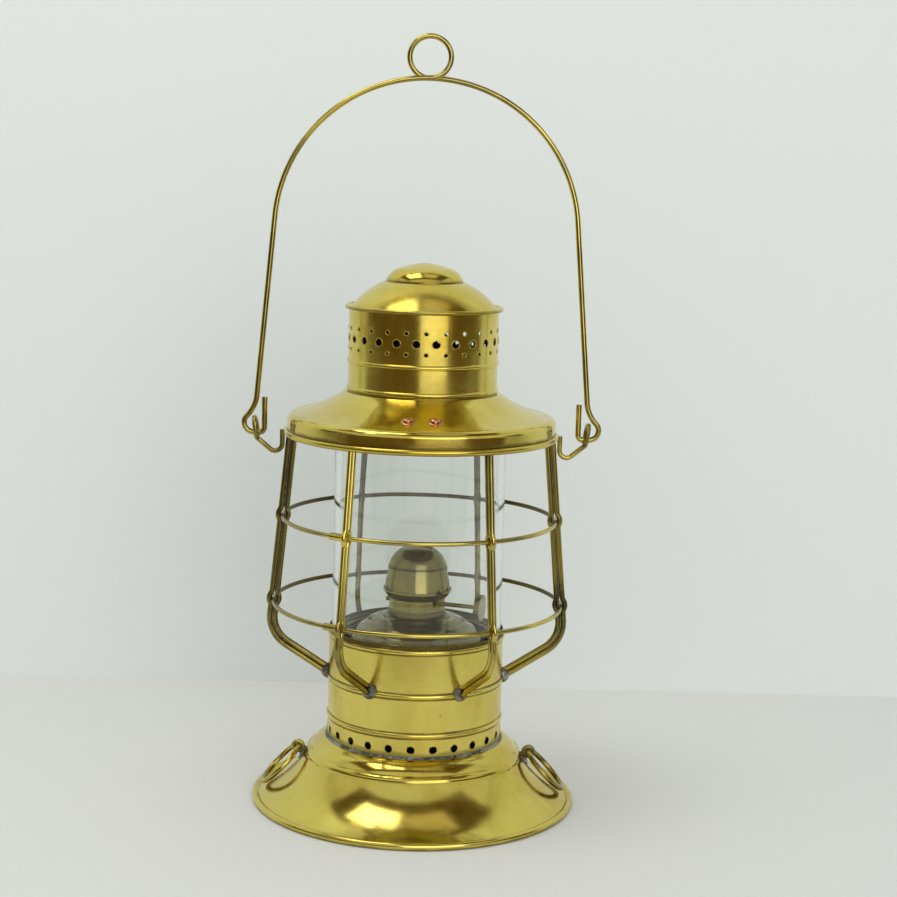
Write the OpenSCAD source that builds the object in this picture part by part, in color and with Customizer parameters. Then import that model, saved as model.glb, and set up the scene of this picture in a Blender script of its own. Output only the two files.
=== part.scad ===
// Ship oil lamp: sheet brass base, body and hood, a glass globe in a guard of doubled
// wires, a swinging bail, two lashing rings, and an oil fount with a flat-wick burner.
// Millimetres, +Z up, origin on the floor at the middle of the base, front towards -Y.

/* [Sheet metal] */
// Thickness of the base, body, hood and chimney sheet
sheet_t = 0.8; // [0.6:0.1:1]
// Gap left between two pieces that are pushed together and soldered
seat_gap = 0.05; // [0.02:0.01:0.1]

/* [Base] */
// Radius of the base at the outside of its rolled rim
base_r = 95; // [92:0.5:99]
// Radius of the rolled bead round the rim
rim_bead_r = 2.2; // [1.8:0.1:2.6]
// How much of the bead is worn flat where the lamp stands
rim_flat = 0.25; // [0.1:0.05:0.5]
// Height of the skirt's neck, where the body is soldered in
base_h = 38.8; // [36:0.2:42]
// Distance of the skirt's lower step from the wall of the body
step_low_w = 12.9; // [11.5:0.1:14]
// Depth of the lower step below the neck
step_low_drop = 11.6; // [10.5:0.1:13]
// Distance of the skirt's upper step from the wall of the body
step_high_w = 9.8; // [8.5:0.1:11]
// Depth of the upper step below the neck
step_high_drop = 7.2; // [6:0.1:8.5]
// How far the flare of the skirt is hollowed below a straight line
flare_sag = 2.5; // [1:0.1:3.5]
// How far each step swells above a straight line
step_swell = 1.1; // [0.5:0.1:1.5]
// Height of the solder seam at the neck
seam_h = 1.4; // [1:0.1:2.2]

/* [Body] */
// Radius of the body wall
body_r = 51; // [49.5:0.5:52]
// Height of the body wall above the neck of the skirt
body_rise = 65; // [62:0.5:68]
// Length of the body wall below the neck, inside the skirt
body_tuck = 5.6; // [4.5:0.1:7]
// Height of the lower bead above the neck
bead_low_rise = 12.9; // [11:0.1:16]
// Height of the upper bead above the neck
bead_high_rise = 35.7; // [33:0.1:38]
// Depth of the top bead below the lip
bead_top_drop = 3.6; // [3.2:0.1:5]
// How far the pressed beads stand out
bead_proud = 0.9; // [0.6:0.1:1.2]
// Radius of the outside of a pressed bead
bead_r = 1.6; // [1.3:0.1:1.9]
// Diameter of the air holes
vent_d = 4.8; // [3:0.1:5]
// Height of the air holes above the neck
vent_rise = 4.9; // [4.8:0.1:7]
// Number of air holes
vent_count = 25; // [12:1:26]
// Turn of the row of air holes, seen from above
vent_turn = -1.7; // [-7:0.1:7]

/* [Globe] */
// Gap between the globe and the wall of the body
globe_gap = 0.6; // [0.4:0.1:1]
// Wall of the globe
globe_wall = 3; // [2.4:0.1:3.4]
// Distance of the globe's top below the neck of the hood
globe_top_drop = 14.6; // [13.4:0.2:17]
// Depth of the globe's ledge below the lip of the body
seat_depth = 3.4; // [2.5:0.1:4.5]
// Width of the ledge that carries the globe
seat_w = 5.6; // [4.5:0.1:6]
// Drop of the ledge's turned-down lip
seat_lip = 3; // [2:0.1:4]

/* [Guard] */
// Diameter of one wire of a guard upright
guard_wire_d = 3.2; // [2.8:0.1:3.4]
// How far the guard's top lies inside the bead of the frame's top ring
guard_in = 2.9; // [2.5:0.1:3.4]
// Lean of the uprights from the vertical
guard_lean = 5.3; // [4.5:0.1:6]
// Slope of the feet below the horizontal
guard_foot_tilt = 32.5; // [30:0.5:36]
// Depth of the feet below the lip of the body, at the wall
guard_foot_drop = 28.1; // [26:0.1:30]
// Radius of the bend above the feet, at the middle of the pair
guard_knee_r = 18.7; // [15:0.1:20]
// Diameter of the ring wires
ring_wire_d = 2.5; // [2:0.1:2.8]
// Depth of the upper guard ring below the frame's top ring
ring_up_drop = 47.9; // [42:0.1:54]
// Height of the lower guard ring above the feet
ring_low_rise = 42.7; // [41.5:0.1:48]
// Length over which a pair spreads above or below a ring wire
spread_l = 5; // [4.5:0.1:6]
// Length of the sleeve that closes a guard ring
ferrule_l = 8.5; // [6:0.1:11]
// Wall of that sleeve
ferrule_t = 0.85; // [0.6:0.05:1.1]
// Radius of the solder at a foot
foot_solder_r = 4.6; // [4:0.1:5.4]

/* [Frame top ring] */
// Height of the frame's top ring above the lip of the body
frame_rise = 112.6; // [111:0.2:114]
// How far the middle of the ring's bead lies inside the hood's band
frame_in = 0.1; // [0:0.05:0.4]
// Radius of the bead
frame_bead_r = 1.8; // [1.5:0.1:2]
// Width of the ring from its inner edge to the middle of its bead
frame_w = 8.6; // [8:0.1:11]
// Height of the collar that stands inside the hood
frame_collar_h = 8; // [6:0.1:9]
// Width of the four tabs that stand in the hood's slots
tab_w = 8; // [6:0.1:10]
// Angle between a tab and the line through the bail ears
tab_turn = 20; // [16:1:26]

/* [Hood] */
// Radius of the hood's band
hood_r = 77.7; // [77.2:0.1:78.5]
// Gap between hood and frame
hood_gap = 0.4; // [0.3:0.05:0.6]
// Height of the band
band_h = 5.8; // [5:0.1:7]
// Width of the rounded shoulder
shoulder_w = 5.7; // [4.5:0.1:7]
// Height of the rounded shoulder
shoulder_h = 3.6; // [3:0.1:4.6]
// How far the shoulder swells above a straight line
shoulder_swell = 1.3; // [0.8:0.1:1.6]
// Rise of the slope from shoulder to neck
slope_rise = 13; // [12:0.1:14]
// How far the slope is hollowed below a straight line
slope_sag = 1.3; // [0.8:0.1:1.8]
// Width of the ledge round the neck that the drum stands on
neck_ledge = 1.6; // [1.2:0.1:2.2]
// Height of the neck's sleeve inside the drum
neck_h = 7; // [5:0.5:10]
// Distance of the rivets outside the globe
rivet_out = 12.4; // [11:0.1:14]
// Distance between the two rivets of a pair
rivet_pitch = 15; // [12:0.5:17]
// Diameter of a rivet's shank
rivet_d = 2.6; // [2:0.1:3]
// Diameter of a rivet's head
rivet_head_d = 5.5; // [4.8:0.1:6]
// Diameter of a rivet's washer
washer_d = 7.6; // [6.6:0.1:8.4]
// Thickness of a rivet's washer
washer_t = 0.5; // [0.3:0.1:0.8]
// Angle that one globe spring takes up round the hood
spring_arc = 22; // [20:0.5:26]
// Thickness of the globe springs
spring_t = 0.5; // [0.3:0.1:0.7]
// Gap between the globe and its springs
spring_gap = 0.4; // [0.3:0.05:0.6]
// Length of a spring beside the globe
spring_drop = 11; // [8:0.5:12]

/* [Chimney] */
// Radius of the drum
drum_r = 43; // [42:0.1:44]
// Height of the drum
drum_h = 48.4; // [46:0.2:51]
// Height of the drum's lower bead
drum_bead_low = 2.2; // [1.7:0.1:3]
// Height of the drum's middle bead
drum_bead_mid = 17.6; // [15:0.1:19]
// Diameter of the large holes
hole_d = 4.7; // [3.5:0.1:5]
// Height of the row of large holes
hole_row = 30.9; // [29:0.1:33]
// Diameter of the small holes
small_hole_d = 2.5; // [1.5:0.1:3]
// Distance of the small rows above and below the large one
small_row_pitch = 5.9; // [5.4:0.1:6.5]
// Number of holes in each row
hole_count = 24; // [16:1:24]
// Turn of the holes, seen from above
hole_turn = -5.3; // [-7:0.1:7]
// Radius of the bead round the cap
cap_bead_r = 1.2; // [1:0.1:1.5]
// Thickness of the cap
cap_t = 0.6; // [0.5:0.1:0.8]
// Height of the cap from its ledge to the crown
cap_h = 14; // [12:0.1:16]
// How far the cap swells above a straight line
cap_swell = 1.5; // [1:0.1:2.2]
// Radius of the crown
crown_r = 22.1; // [20:0.1:24]
// Height of the crown
crown_h = 10.7; // [9.5:0.1:12]
// Height of the crown's rounded edge
crown_edge_h = 8.2; // [7.4:0.1:8.8]
// Radius at which the crown's edge passes into its top
crown_top_r = 13; // [11.5:0.1:14]

/* [Bail] */
// Diameter of the bail wire
bail_d = 3.2; // [2.8:0.1:3.4]
// Height of the bail's pivots above the underside of the frame's top ring
pivot_rise = 0; // [-1:0.1:1]
// Height of the crossing under the loop above the pivots
bail_h = 203.9; // [195:0.1:210]
// How far the arch lies inside the hooks
arch_in = 10.3; // [9.6:0.1:13]
// Lean of the legs from the vertical
leg_lean = 5; // [4:0.1:5.5]
// Distance of a hook's outer bend from the leg of its ear
hook_out = 16.6; // [16.2:0.1:17]
// Radius of a hook's outer bend
hook_r = 5.6; // [5.2:0.1:6]
// Radius of the back bend between leg and hook
back_r = 20; // [16:0.5:22]
// Length of the straight part of a hook that lies in the eye
hook_flat = 3.4; // [3.3:0.1:4]
// Radius of a hook's inner bend
hook_in_r = 2.8; // [2.4:0.1:3]
// Length of a hook's straight tail
hook_tail = 17.6; // [12:0.1:19]
// Radius of the loop at the top
loop_r = 11.7; // [10:0.1:13]
// Gap between the two strands where they cross
cross_gap = 0.3; // [0.2:0.05:0.6]
// Diameter of the ear wire
ear_d = 3; // [2.6:0.1:3.2]
// Radius of an eye
eye_r = 4.4; // [4.3:0.1:4.8]
// Straight part of an eye
eye_l = 3.2; // [2.6:0.1:3.6]
// Lean of an eye from the vertical
eye_lean = 8; // [6:0.5:9]
// Gap between the hook and the bottom of its eye
eye_gap = 0.3; // [0.25:0.05:0.4]
// Gap between an ear's leg and the guard wire beside it
ear_gap = 0.43; // [0.3:0.01:0.6]
// Radius of the bend under an ear
ear_bend_r = 4.2; // [3.8:0.1:4.6]
// Length of an ear's straight leg
ear_leg_l = 8.2; // [7:0.1:9]

/* [Lashing rings] */
// How far a hanging lashing ring stops short of the rim's bead
lash_short = 7.3; // [5.5:0.1:10]
// Diameter of the lashing ring wire
lash_d = 3.2; // [2.8:0.1:3.4]
// Distance of a ring's pivot outside the lower step
lash_out = 4.4; // [4.1:0.1:4.9]
// Height of a ring's pivot above the lower step
lash_rise = 1.8; // [1.6:0.1:2.2]
// Angle between a hanging ring and the flare of the skirt
lash_over = 4.7; // [3:0.1:5]
// Diameter of the staple wire
staple_d = 2.4; // [2:0.1:2.6]
// Gap between ring and staple
staple_gap = 0.1; // [0.06:0.01:0.1]
// Height of the solder under a staple
staple_solder_h = 1.3; // [1:0.1:1.5]
// Radius of the solder under a staple
staple_solder_r = 4.4; // [4:0.1:5]

/* [Fount] */
// Room between the fount and the outside of the body
fount_room = 8; // [7.6:0.1:10]
// Height of the fount's bottom above the floor, below the neck of the skirt
fount_drop = 3.8; // [3:0.1:5]
// Height of the fount's wall
fount_wall_h = 55; // [52:0.2:56]
// Rise of the fount's dome
fount_dome_h = 21.8; // [20:0.1:23]
// How far the dome swells above a straight line
fount_swell = 5.5; // [4:0.1:6]
// Radius of the mouth
mouth_r = 14; // [13:0.1:15]
// Angle that each tab and lug takes up
bayonet_arc = 24; // [18:1:30]
// Thickness of the tabs and the lugs
bayonet_t = 1.6; // [1.2:0.1:2]
// Height of the lugs' upper face below the neck of the skirt
lug_drop = 1; // [0.6:0.1:1.6]
// Gap between a tab and the lug it stands on
lug_gap = 0.2; // [0.1:0.05:0.3]

/* [Burner] */
// Height of the collar on the mouth
collar_h = 3.2; // [2.6:0.1:4]
// Wall of the collar
collar_w = 2.8; // [2.2:0.1:3.4]
// Radius of the burner's cup
cup_r = 16.4; // [16:0.1:17.5]
// Height of the cup's straight wall
cup_h = 6.6; // [6.4:0.1:7.6]
// Thickness of the burner's sheet
burner_t = 0.6; // [0.4:0.1:0.7]
// Width of the gallery round the cup
gallery_w = 3.6; // [3:0.1:4.4]
// Height of the gallery
gallery_h = 4.4; // [3.8:0.1:5]
// Diameter of the cup's air holes
cup_hole_d = 2.2; // [1.6:0.1:2.4]
// Arc over which the cup's air holes lie
cup_hole_arc = 120; // [100:5:140]
// Number of the cup's air holes
cup_hole_count = 10; // [6:1:12]
// Height of the burner's dome
dome_h = 26; // [24:0.2:28]
// Height of the dome's skirt, up to the line under its cap
dome_skirt_h = 12.6; // [11:0.2:14]
// How far the skirt of the dome narrows up to that line
dome_taper = 2.2; // [1.6:0.1:2.8]
// How far the cap of the dome stands out over the line
dome_lip = 0.5; // [0.3:0.1:0.8]
// How far the cap of the dome swells out
dome_swell = 1.6; // [1:0.1:2]
// Radius of the flat crown of the dome
dome_top_r = 9.5; // [9:0.1:11]
// Height of the crown of the dome
dome_cap_h = 1.4; // [1:0.1:2]
// Width of the wick
wick_w = 15.6; // [14:0.1:16]
// Thickness of the wick
wick_t = 1.8; // [1.4:0.1:2.2]
// Height of the wick's lower end above the bottom of the fount
wick_clear = 8.55; // [4:0.05:16]
// Depth of the wick's end below the dome's top
wick_drop = 4.5; // [3.5:0.1:6]
// Gap round the wick in its tube
wick_gap = 0.3; // [0.3:0.05:0.5]
// Wall of the wick tube
wick_tube_t = 0.5; // [0.4:0.1:0.6]
// Length of the wick tube below the floor of the cup
wick_tube_low = 11; // [8:0.5:14]
// Length of the wick tube above the floor of the cup
wick_tube_high = 27; // [24:0.5:29]
// Turn of the burner: the knob's direction, seen from above
burner_turn = -20; // [-40:1:10]
// Diameter of the wick shaft
shaft_d = 2.4; // [2:0.1:2.6]
// Running clearance of the shaft in the cup
shaft_gap = 0.05; // [0.02:0.01:0.09]
// Gap between the toothed wheels and the floor of the cup
wheel_gap = 0.2; // [0.1:0.05:0.4]
// Radius of the toothed wheels
wheel_r = 4.2; // [3.6:0.1:4.2]
// Width of a toothed wheel
wheel_w = 1.2; // [0.8:0.1:1.6]
// Distance between the two wheels
wheel_pitch = 8; // [6:0.1:10]
// Depth of the wheels' teeth
tooth_h = 1.2; // [0.8:0.1:1.6]
// Teeth on a wheel
wheel_teeth = 10; // [8:1:14]
// Gap between the knob and the globe
knob_gap = 3.2; // [2.6:0.1:8]
// Diameter of the knob
knob_d = 15.4; // [12:0.1:15.6]
// Thickness of the knob
knob_t = 3; // [2:0.1:3.2]
// Notches round the knob
knob_notches = 28; // [16:1:36]

/* [Hidden] */
$fn = 96;

// Heights above the floor
body_top = base_h + body_rise;
seat_z = body_top - seat_depth;
frame_z = body_top + frame_rise;
band_z = frame_z + 2 * frame_bead_r + hood_gap / 2;
crease_z = band_z + band_h + shoulder_h;
neck_z = crease_z + slope_rise;
drum_z = neck_z + seat_gap;
ledge_z = drum_z + drum_h;
pivot_z = frame_z + pivot_rise;
cross_z = pivot_z + bail_h;
step_low_z = base_h - step_low_drop;
step_high_z = base_h - step_high_drop;
lug_z = base_h - lug_drop;
fount_z = base_h - fount_drop;
mouth_z = fount_z + fount_wall_h + fount_dome_h;
cup_z = mouth_z + collar_h + seat_gap;
gallery_z = cup_z + cup_h + gallery_h;
dome_z = gallery_z;
shaft_rise = burner_t + wheel_gap + wheel_r;
shaft_z = cup_z + shaft_rise;
vent_z = base_h + vent_rise;
globe_h = neck_z - globe_top_drop - seat_z;
wick_top_z = dome_z + dome_h - wick_drop;
wick_l = wick_top_z - fount_z - wick_clear;

// Radii
globe_r = body_r - sheet_t - globe_gap;
collar_r = hood_r - sheet_t - hood_gap;
frame_r = hood_r - frame_in;
frame_inner_r = frame_r - frame_w;
guard_top_r = frame_r - guard_in;
step_low_r = body_r + step_low_w;
step_high_r = body_r + step_high_w;
fount_r = body_r - fount_room;
rivet_from_axis = globe_r + rivet_out;
neck_r = drum_r + neck_ledge;
sleeve_r = drum_r - sheet_t - seat_gap;

// Points of an arc from p to q that swells by s to the left of the way from p to q
function bow(p, q, s, n = 10) =
    let (d = q - p, c = norm(d), u = d / c, v = [-u[1], u[0]])
    let (a = 2 * atan(2 * s / c), r = c / (2 * sin(a)))
    [for (i = [0 : n])
        let (t = a * (2 * i / n - 1))
        p + u * (c / 2 + r * sin(t)) + v * (r * cos(t) - r * cos(a))];

function rest(v) = [for (i = [1 : len(v) - 1]) v[i]];
function left_of(p, q) = let (d = (q - p) / norm(q - p)) [-d[1], d[0]];

// Offset of corner i of an open line, so that both its edges move by 1 to the left
function corner(line, i) =
    let (k = len(line) - 1)
    let (a = left_of(line[max(i - 1, 0)], line[max(i, 1)]))
    let (b = left_of(line[min(i, k - 1)], line[min(i + 1, k)]))
    (a + b) / (1 + a * b);

// Closed outline of a sheet whose right face follows the line
function sheet(line, t) =
    concat(line, [for (i = [len(line) - 1 : -1 : 0]) line[i] + t * corner(line, i)]);

// A wire is a chain of straight runs and bends. Each draws its own length from the origin
// along +Z and carries its children to its end. A bend turns towards +X, or -X if side is -1.
// A run laps a little over the bends at its ends, which are finer by wire_step all round,
// and a run of no length joins two bends.
wire_lap = 0.2;
wire_step = 0.02;

module run(l, d) {
    translate([0, 0, -wire_lap]) cylinder(d = d, h = l + 2 * wire_lap);
    translate([0, 0, l]) children();
}

module bend(r, a, d, side = 1) {
    turn = side > 0 ? 0 : 180;
    rotate([0, 0, turn]) {
        translate([r, 0, 0])
            rotate([-90, 0, 0])
                rotate([0, 0, 180])
                    rotate_extrude(angle = a)
                        translate([r, 0]) circle(d = d - 2 * wire_step);
        translate([r, 0, 0])
            rotate([0, a, 0])
                translate([-r, 0, 0])
                    rotate([0, 0, turn]) children();
    }
}

module ring_wire(r, d) {
    rotate_extrude() translate([r, 0]) circle(d = d);
}

// Half section of a sheet wall with pressed beads: a ridge outside, a groove inside
module beaded_wall(r, z0, z1, beads) {
    difference() {
        union() {
            translate([r - sheet_t, z0]) square([sheet_t, z1 - z0]);
            intersection() {
                for (z = beads)
                    translate([r + bead_proud - bead_r, z]) circle(r = bead_r);
                translate([r - sheet_t, z0]) square([sheet_t + bead_proud, z1 - z0]);
            }
        }
        for (z = beads)
            translate([r + bead_proud - bead_r, z]) circle(r = bead_r - sheet_t);
    }
}

// Radial holes through a wall of radius r
module hole_ring(r, z, d, count, turn) {
    for (i = [0 : count - 1])
        rotate([0, 0, turn - 90 + i * 360 / count])
            translate([r - 2 * bead_r - sheet_t, 0, z])
                rotate([0, 90, 0]) cylinder(d = d, h = 4 * bead_r + 2 * sheet_t);
}

// Base
rim_x = base_r - rim_bead_r;
rim_z = rim_bead_r - rim_flat;
flare_foot = [rim_x - 0.7 * rim_bead_r, rim_z + 0.55 * rim_bead_r];
flare = [step_low_r, step_low_z] - flare_foot;
flare_slope = atan2(flare[1], -flare[0]);
flare_turn = 2 * atan(2 * flare_sag / norm(flare));
skirt_line = concat(
    bow(flare_foot, [step_low_r, step_low_z], flare_sag, 16),
    rest(bow([step_low_r, step_low_z], [step_high_r, step_high_z], -step_swell, 8)),
    rest(bow([step_high_r, step_high_z], [body_r + seat_gap, base_h], -step_swell, 10))
);

module skirt_filled() {
    rotate_extrude($fn = 360)
        polygon(concat(skirt_line, [[0, base_h], [0, skirt_line[0][1]]]));
}

module base_skirt() {
    color("#b09a45")
        rotate_extrude() {
            difference() {
                polygon(sheet(skirt_line, sheet_t));
                square([body_r + seat_gap, base_h]);
            }
            difference() {
                translate([rim_x, rim_z]) circle(r = rim_bead_r);
                translate([0, -base_r]) square([base_r, base_r]);
            }
        }
}

body_beads = [base_h + bead_low_rise, base_h + bead_high_rise, body_top - bead_top_drop];

module lower_body() {
    color("#b8a24c")
        difference() {
            rotate_extrude() beaded_wall(body_r, base_h - body_tuck, body_top, body_beads);
            hole_ring(body_r, vent_z, vent_d, vent_count, vent_turn);
        }
}

// The body as a solid, to cut what is soldered against its wall
module body_filled() {
    rotate_extrude($fn = 360) {
        translate([0, base_h - body_tuck]) square([body_r + seat_gap / 2, body_rise + body_tuck]);
        for (z = body_beads)
            translate([body_r + bead_proud - bead_r, z]) circle(r = bead_r + seat_gap / 2);
    }
}

module base_solder_seam() {
    foot = [body_r + 1.5 * seam_h, base_h - seam_h / 2];
    color("#8d8f8a")
        difference() {
            rotate_extrude($fn = 360)
                polygon(concat(
                    [[body_r, step_high_z]],
                    bow(foot, [body_r, base_h + seam_h], seam_h / 6, 6)
                ));
            skirt_filled();
            cylinder(r = body_r + seat_gap / 2, h = body_top, $fn = 360);
        }
}

// Globe and its ledge
seat_r = body_r - sheet_t - seat_gap;

module globe_seat() {
    color("#8c7b3c")
        rotate_extrude()
            polygon(sheet([
                [seat_r - seat_w, seat_z - seat_lip],
                [seat_r - seat_w, seat_z - sheet_t],
                [seat_r, seat_z - sheet_t]
            ], sheet_t));
}

module globe() {
    lip = globe_wall / 2;
    color("#dfe9e2", 0.35)
        rotate_extrude()
            translate([globe_r - globe_wall, seat_z])
                polygon(concat(
                    [[0, 0], [globe_wall, 0]],
                    bow([globe_wall, globe_h - lip], [0, globe_h - lip], -lip, 12)
                ));
}

// Guard
foot_z = body_top - guard_foot_drop;
knee_turn = 90 - guard_foot_tilt + guard_lean;
// Where the lines of an upright and of its foot cross
knee_r_pos = (guard_top_r + tan(guard_lean) * (frame_z - foot_z + body_r * tan(guard_foot_tilt)))
    / (1 + tan(guard_lean) * tan(guard_foot_tilt));
knee_z_pos = foot_z + (knee_r_pos - body_r) * tan(guard_foot_tilt);
knee_back = guard_knee_r * tan(knee_turn / 2);
knee_s = (frame_z - knee_z_pos) / cos(guard_lean) - knee_back;
foot_l = (knee_r_pos - body_r) / cos(guard_foot_tilt) - knee_back;
ring_up_z = frame_z - ring_up_drop;
ring_low_z = foot_z + ring_low_rise;
function guard_r(z) = guard_top_r + (frame_z - z) * tan(guard_lean);

// Each strand steps aside by this much for a ring wire
spread = ring_wire_d / 2 + seat_gap / 2;
spread_a = 2 * atan(spread / spread_l);
spread_bend_r = spread_l / (2 * sin(spread_a));
ring_up_s = ring_up_drop / cos(guard_lean);
ring_low_s = (frame_z - ring_low_z) / cos(guard_lean);
head_l = 4;
strand_off = guard_wire_d / 2 + seat_gap / 2;

module spread_bends(side) {
    bend(spread_bend_r, spread_a, guard_wire_d, side)
        run(0, guard_wire_d)
            bend(spread_bend_r, 2 * spread_a, guard_wire_d, -side)
                run(0, guard_wire_d)
                    bend(spread_bend_r, spread_a, guard_wire_d, side) children();
}

// Frame of an upright at its top, looking down along it, +X towards the lamp's axis
module guard_frame(azimuth) {
    rotate([0, 0, azimuth])
        translate([guard_top_r, 0, frame_z])
            rotate([0, 180 - guard_lean, 0]) children();
}

// One strand; out is 1 for the outer wire of a pair and -1 for the inner one
module guard_strand(azimuth, out) {
    color(out > 0 ? "#9a8a3c" : "#8f7f38")
        difference() {
            guard_frame(azimuth)
                translate([-out * strand_off, 0, -head_l])
                    run(head_l + ring_up_s - spread_l, guard_wire_d)
                        spread_bends(-out)
                            run(ring_low_s - ring_up_s - 2 * spread_l, guard_wire_d)
                                spread_bends(-out)
                                    run(knee_s - ring_low_s - spread_l, guard_wire_d)
                                        bend(guard_knee_r + out * strand_off, knee_turn, guard_wire_d)
                                            run(foot_l + 2 * guard_wire_d, guard_wire_d);
            translate([-base_r, -base_r, frame_z]) cube([2 * base_r, 2 * base_r, 2 * head_l]);
            body_filled();
        }
}

module guard_outer_right() { guard_strand(0, 1); }
module guard_outer_back_right() { guard_strand(60, 1); }
module guard_outer_back_left() { guard_strand(120, 1); }
module guard_outer_left() { guard_strand(180, 1); }
module guard_outer_front_left() { guard_strand(240, 1); }
module guard_outer_front_right() { guard_strand(300, 1); }
module guard_inner_right() { guard_strand(0, -1); }
module guard_inner_back_right() { guard_strand(60, -1); }
module guard_inner_back_left() { guard_strand(120, -1); }
module guard_inner_left() { guard_strand(180, -1); }
module guard_inner_front_left() { guard_strand(240, -1); }
module guard_inner_front_right() { guard_strand(300, -1); }

// Solder round the foot of one upright, with room for its two wires
module foot_solder() {
    cut = guard_wire_d + seat_gap;
    difference() {
        translate([body_r, 0, foot_z]) sphere(r = foot_solder_r);
        body_filled();
        translate([body_r, 0, foot_z])
            rotate([0, 90 - guard_foot_tilt, 0])
                translate([0, 0, -foot_solder_r])
                    linear_extrude(4 * foot_solder_r) {
                        for (out = [-1, 1])
                            translate([out * strand_off, 0]) circle(d = cut - seat_gap / 2);
                        translate([-strand_off, -cut / 4]) square([2 * strand_off, cut / 2]);
                    }
    }
}

module guard_solder() {
    color("#80827d")
        for (a = [0 : 60 : 300])
            rotate([0, 0, a]) foot_solder();
}

module upper_guard_ring() {
    color("#a8953f") translate([0, 0, ring_up_z]) ring_wire(guard_r(ring_up_z), ring_wire_d);
}

module lower_guard_ring() {
    color("#a8953f") translate([0, 0, ring_low_z]) ring_wire(guard_r(ring_low_z), ring_wire_d);
}

// Sleeve over the ends of a ring wire, beside the front left upright
module ring_ferrule(z) {
    r = guard_r(z);
    beside = asin((guard_wire_d / 2 + hood_gap) / r);
    arc = ferrule_l / r * 180 / PI;
    color("#94803a")
        translate([0, 0, z])
            rotate([0, 0, 240 - beside - arc])
                rotate_extrude(angle = arc)
                    translate([r, 0])
                        difference() {
                            circle(d = ring_wire_d + 2 * ferrule_t);
                            circle(d = ring_wire_d + seat_gap);
                        }
}

module upper_ring_ferrule() { ring_ferrule(ring_up_z); }
module lower_ring_ferrule() { ring_ferrule(ring_low_z); }

// Frame top ring
tab_angles = [-tab_turn, tab_turn, 180 - tab_turn, 180 + tab_turn];

module frame_top_ring() {
    color("#8f8040") {
        rotate_extrude() {
            translate([frame_r, frame_z + frame_bead_r]) circle(r = frame_bead_r);
            translate([frame_inner_r, frame_z]) square([frame_r - frame_inner_r, sheet_t]);
            translate([collar_r - sheet_t, frame_z]) square([sheet_t, frame_collar_h]);
        }
        for (a = tab_angles)
            rotate([0, 0, a])
                translate([collar_r - sheet_t, -tab_w / 2, frame_z + frame_bead_r])
                    cube([sheet_t + hood_gap + sheet_t, tab_w, frame_collar_h - frame_bead_r]);
    }
}

// Hood
slope = bow([hood_r - shoulder_w, crease_z], [neck_r, neck_z], slope_sag, 16);
hood_line = concat(
    [[hood_r, band_z]],
    bow([hood_r, band_z + band_h], [hood_r - shoulder_w, crease_z], -shoulder_swell, 10),
    rest(slope),
    [[sleeve_r, neck_z], [sleeve_r, neck_z + neck_h]]
);
// Point of the slope at the rivets, and the slope there
slope_k = [
    for (i = [0 : len(slope) - 2])
        if (slope[i][0] >= rivet_from_axis && slope[i + 1][0] < rivet_from_axis) i
][0];
slope_u = (slope[slope_k + 1] - slope[slope_k]) / norm(slope[slope_k + 1] - slope[slope_k]);
slope_f = (slope[slope_k][0] - rivet_from_axis) / (slope[slope_k][0] - slope[slope_k + 1][0]);
rivet_at = slope[slope_k] + slope_f * (slope[slope_k + 1] - slope[slope_k]);
slope_tilt = atan2(slope_u[1], -slope_u[0]);
spring_angles = [-90, 90];
rivet_half = asin(rivet_pitch / 2 / rivet_from_axis);

// Frames of the rivets: +Z square to the slope, origin on the hood's outer face
module at_rivets() {
    for (a = spring_angles, s = [-1, 1])
        rotate([0, 0, a + s * rivet_half])
            translate([rivet_at[0], 0, rivet_at[1]])
                rotate([0, slope_tilt, 0]) children();
}

rivet_l = sheet_t + spring_t + 3 * seat_gap;

module hood() {
    slot_h = frame_collar_h - 2 * frame_bead_r + 2 * hood_gap;
    color("#c2ad58")
        difference() {
            rotate_extrude() polygon(sheet(hood_line, sheet_t));
            for (a = tab_angles)
                rotate([0, 0, a])
                    translate([hood_r - 3 * sheet_t, -tab_w / 2 - hood_gap, band_z - hood_gap])
                        cube([5 * sheet_t, tab_w + 2 * hood_gap, slot_h]);
            at_rivets()
                translate([0, 0, -2 * rivet_l]) cylinder(d = rivet_d + 2 * seat_gap, h = 4 * rivet_l);
        }
}

// A spring lies under the slope, then bends down beside the globe
spring_side = globe_r + spring_gap;
slope_n = [slope_u[1], -slope_u[0]];
spring_mid = rivet_at - (sheet_t + 2 * seat_gap) * slope_n;
spring_top = spring_mid + washer_d * slope_u;
spring_line = concat(
    [spring_mid - washer_d * slope_u],
    bow(spring_top, [spring_side, spring_top[1] - sheet_t], -sheet_t, 6),
    [[spring_side, spring_top[1] - spring_drop]]
);

module globe_springs() {
    color("#a48f4a")
        difference() {
            for (a = spring_angles)
                rotate([0, 0, a - spring_arc / 2])
                    rotate_extrude(angle = spring_arc) polygon(sheet(spring_line, spring_t));
            at_rivets()
                translate([0, 0, -2 * rivet_l]) cylinder(d = rivet_d + 2 * seat_gap, h = 4 * rivet_l);
        }
}

washer_z = 2 * seat_gap;

module hood_rivets() {
    top = washer_z + washer_t + seat_gap / 2;
    head = rivet_head_d / 2;
    color("#b98268")
        at_rivets()
            rotate_extrude()
                polygon(concat(
                    [[0, -rivet_l - sheet_t], [head, -rivet_l - sheet_t], [head, -rivet_l]],
                    [[rivet_d / 2, -rivet_l], [rivet_d / 2, top], [head, top]],
                    rest(bow([head, top + sheet_t / 2], [sheet_t, top + 2 * sheet_t], -sheet_t / 2, 5)),
                    [[0, top + 2 * sheet_t]]
                ));
}

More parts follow.
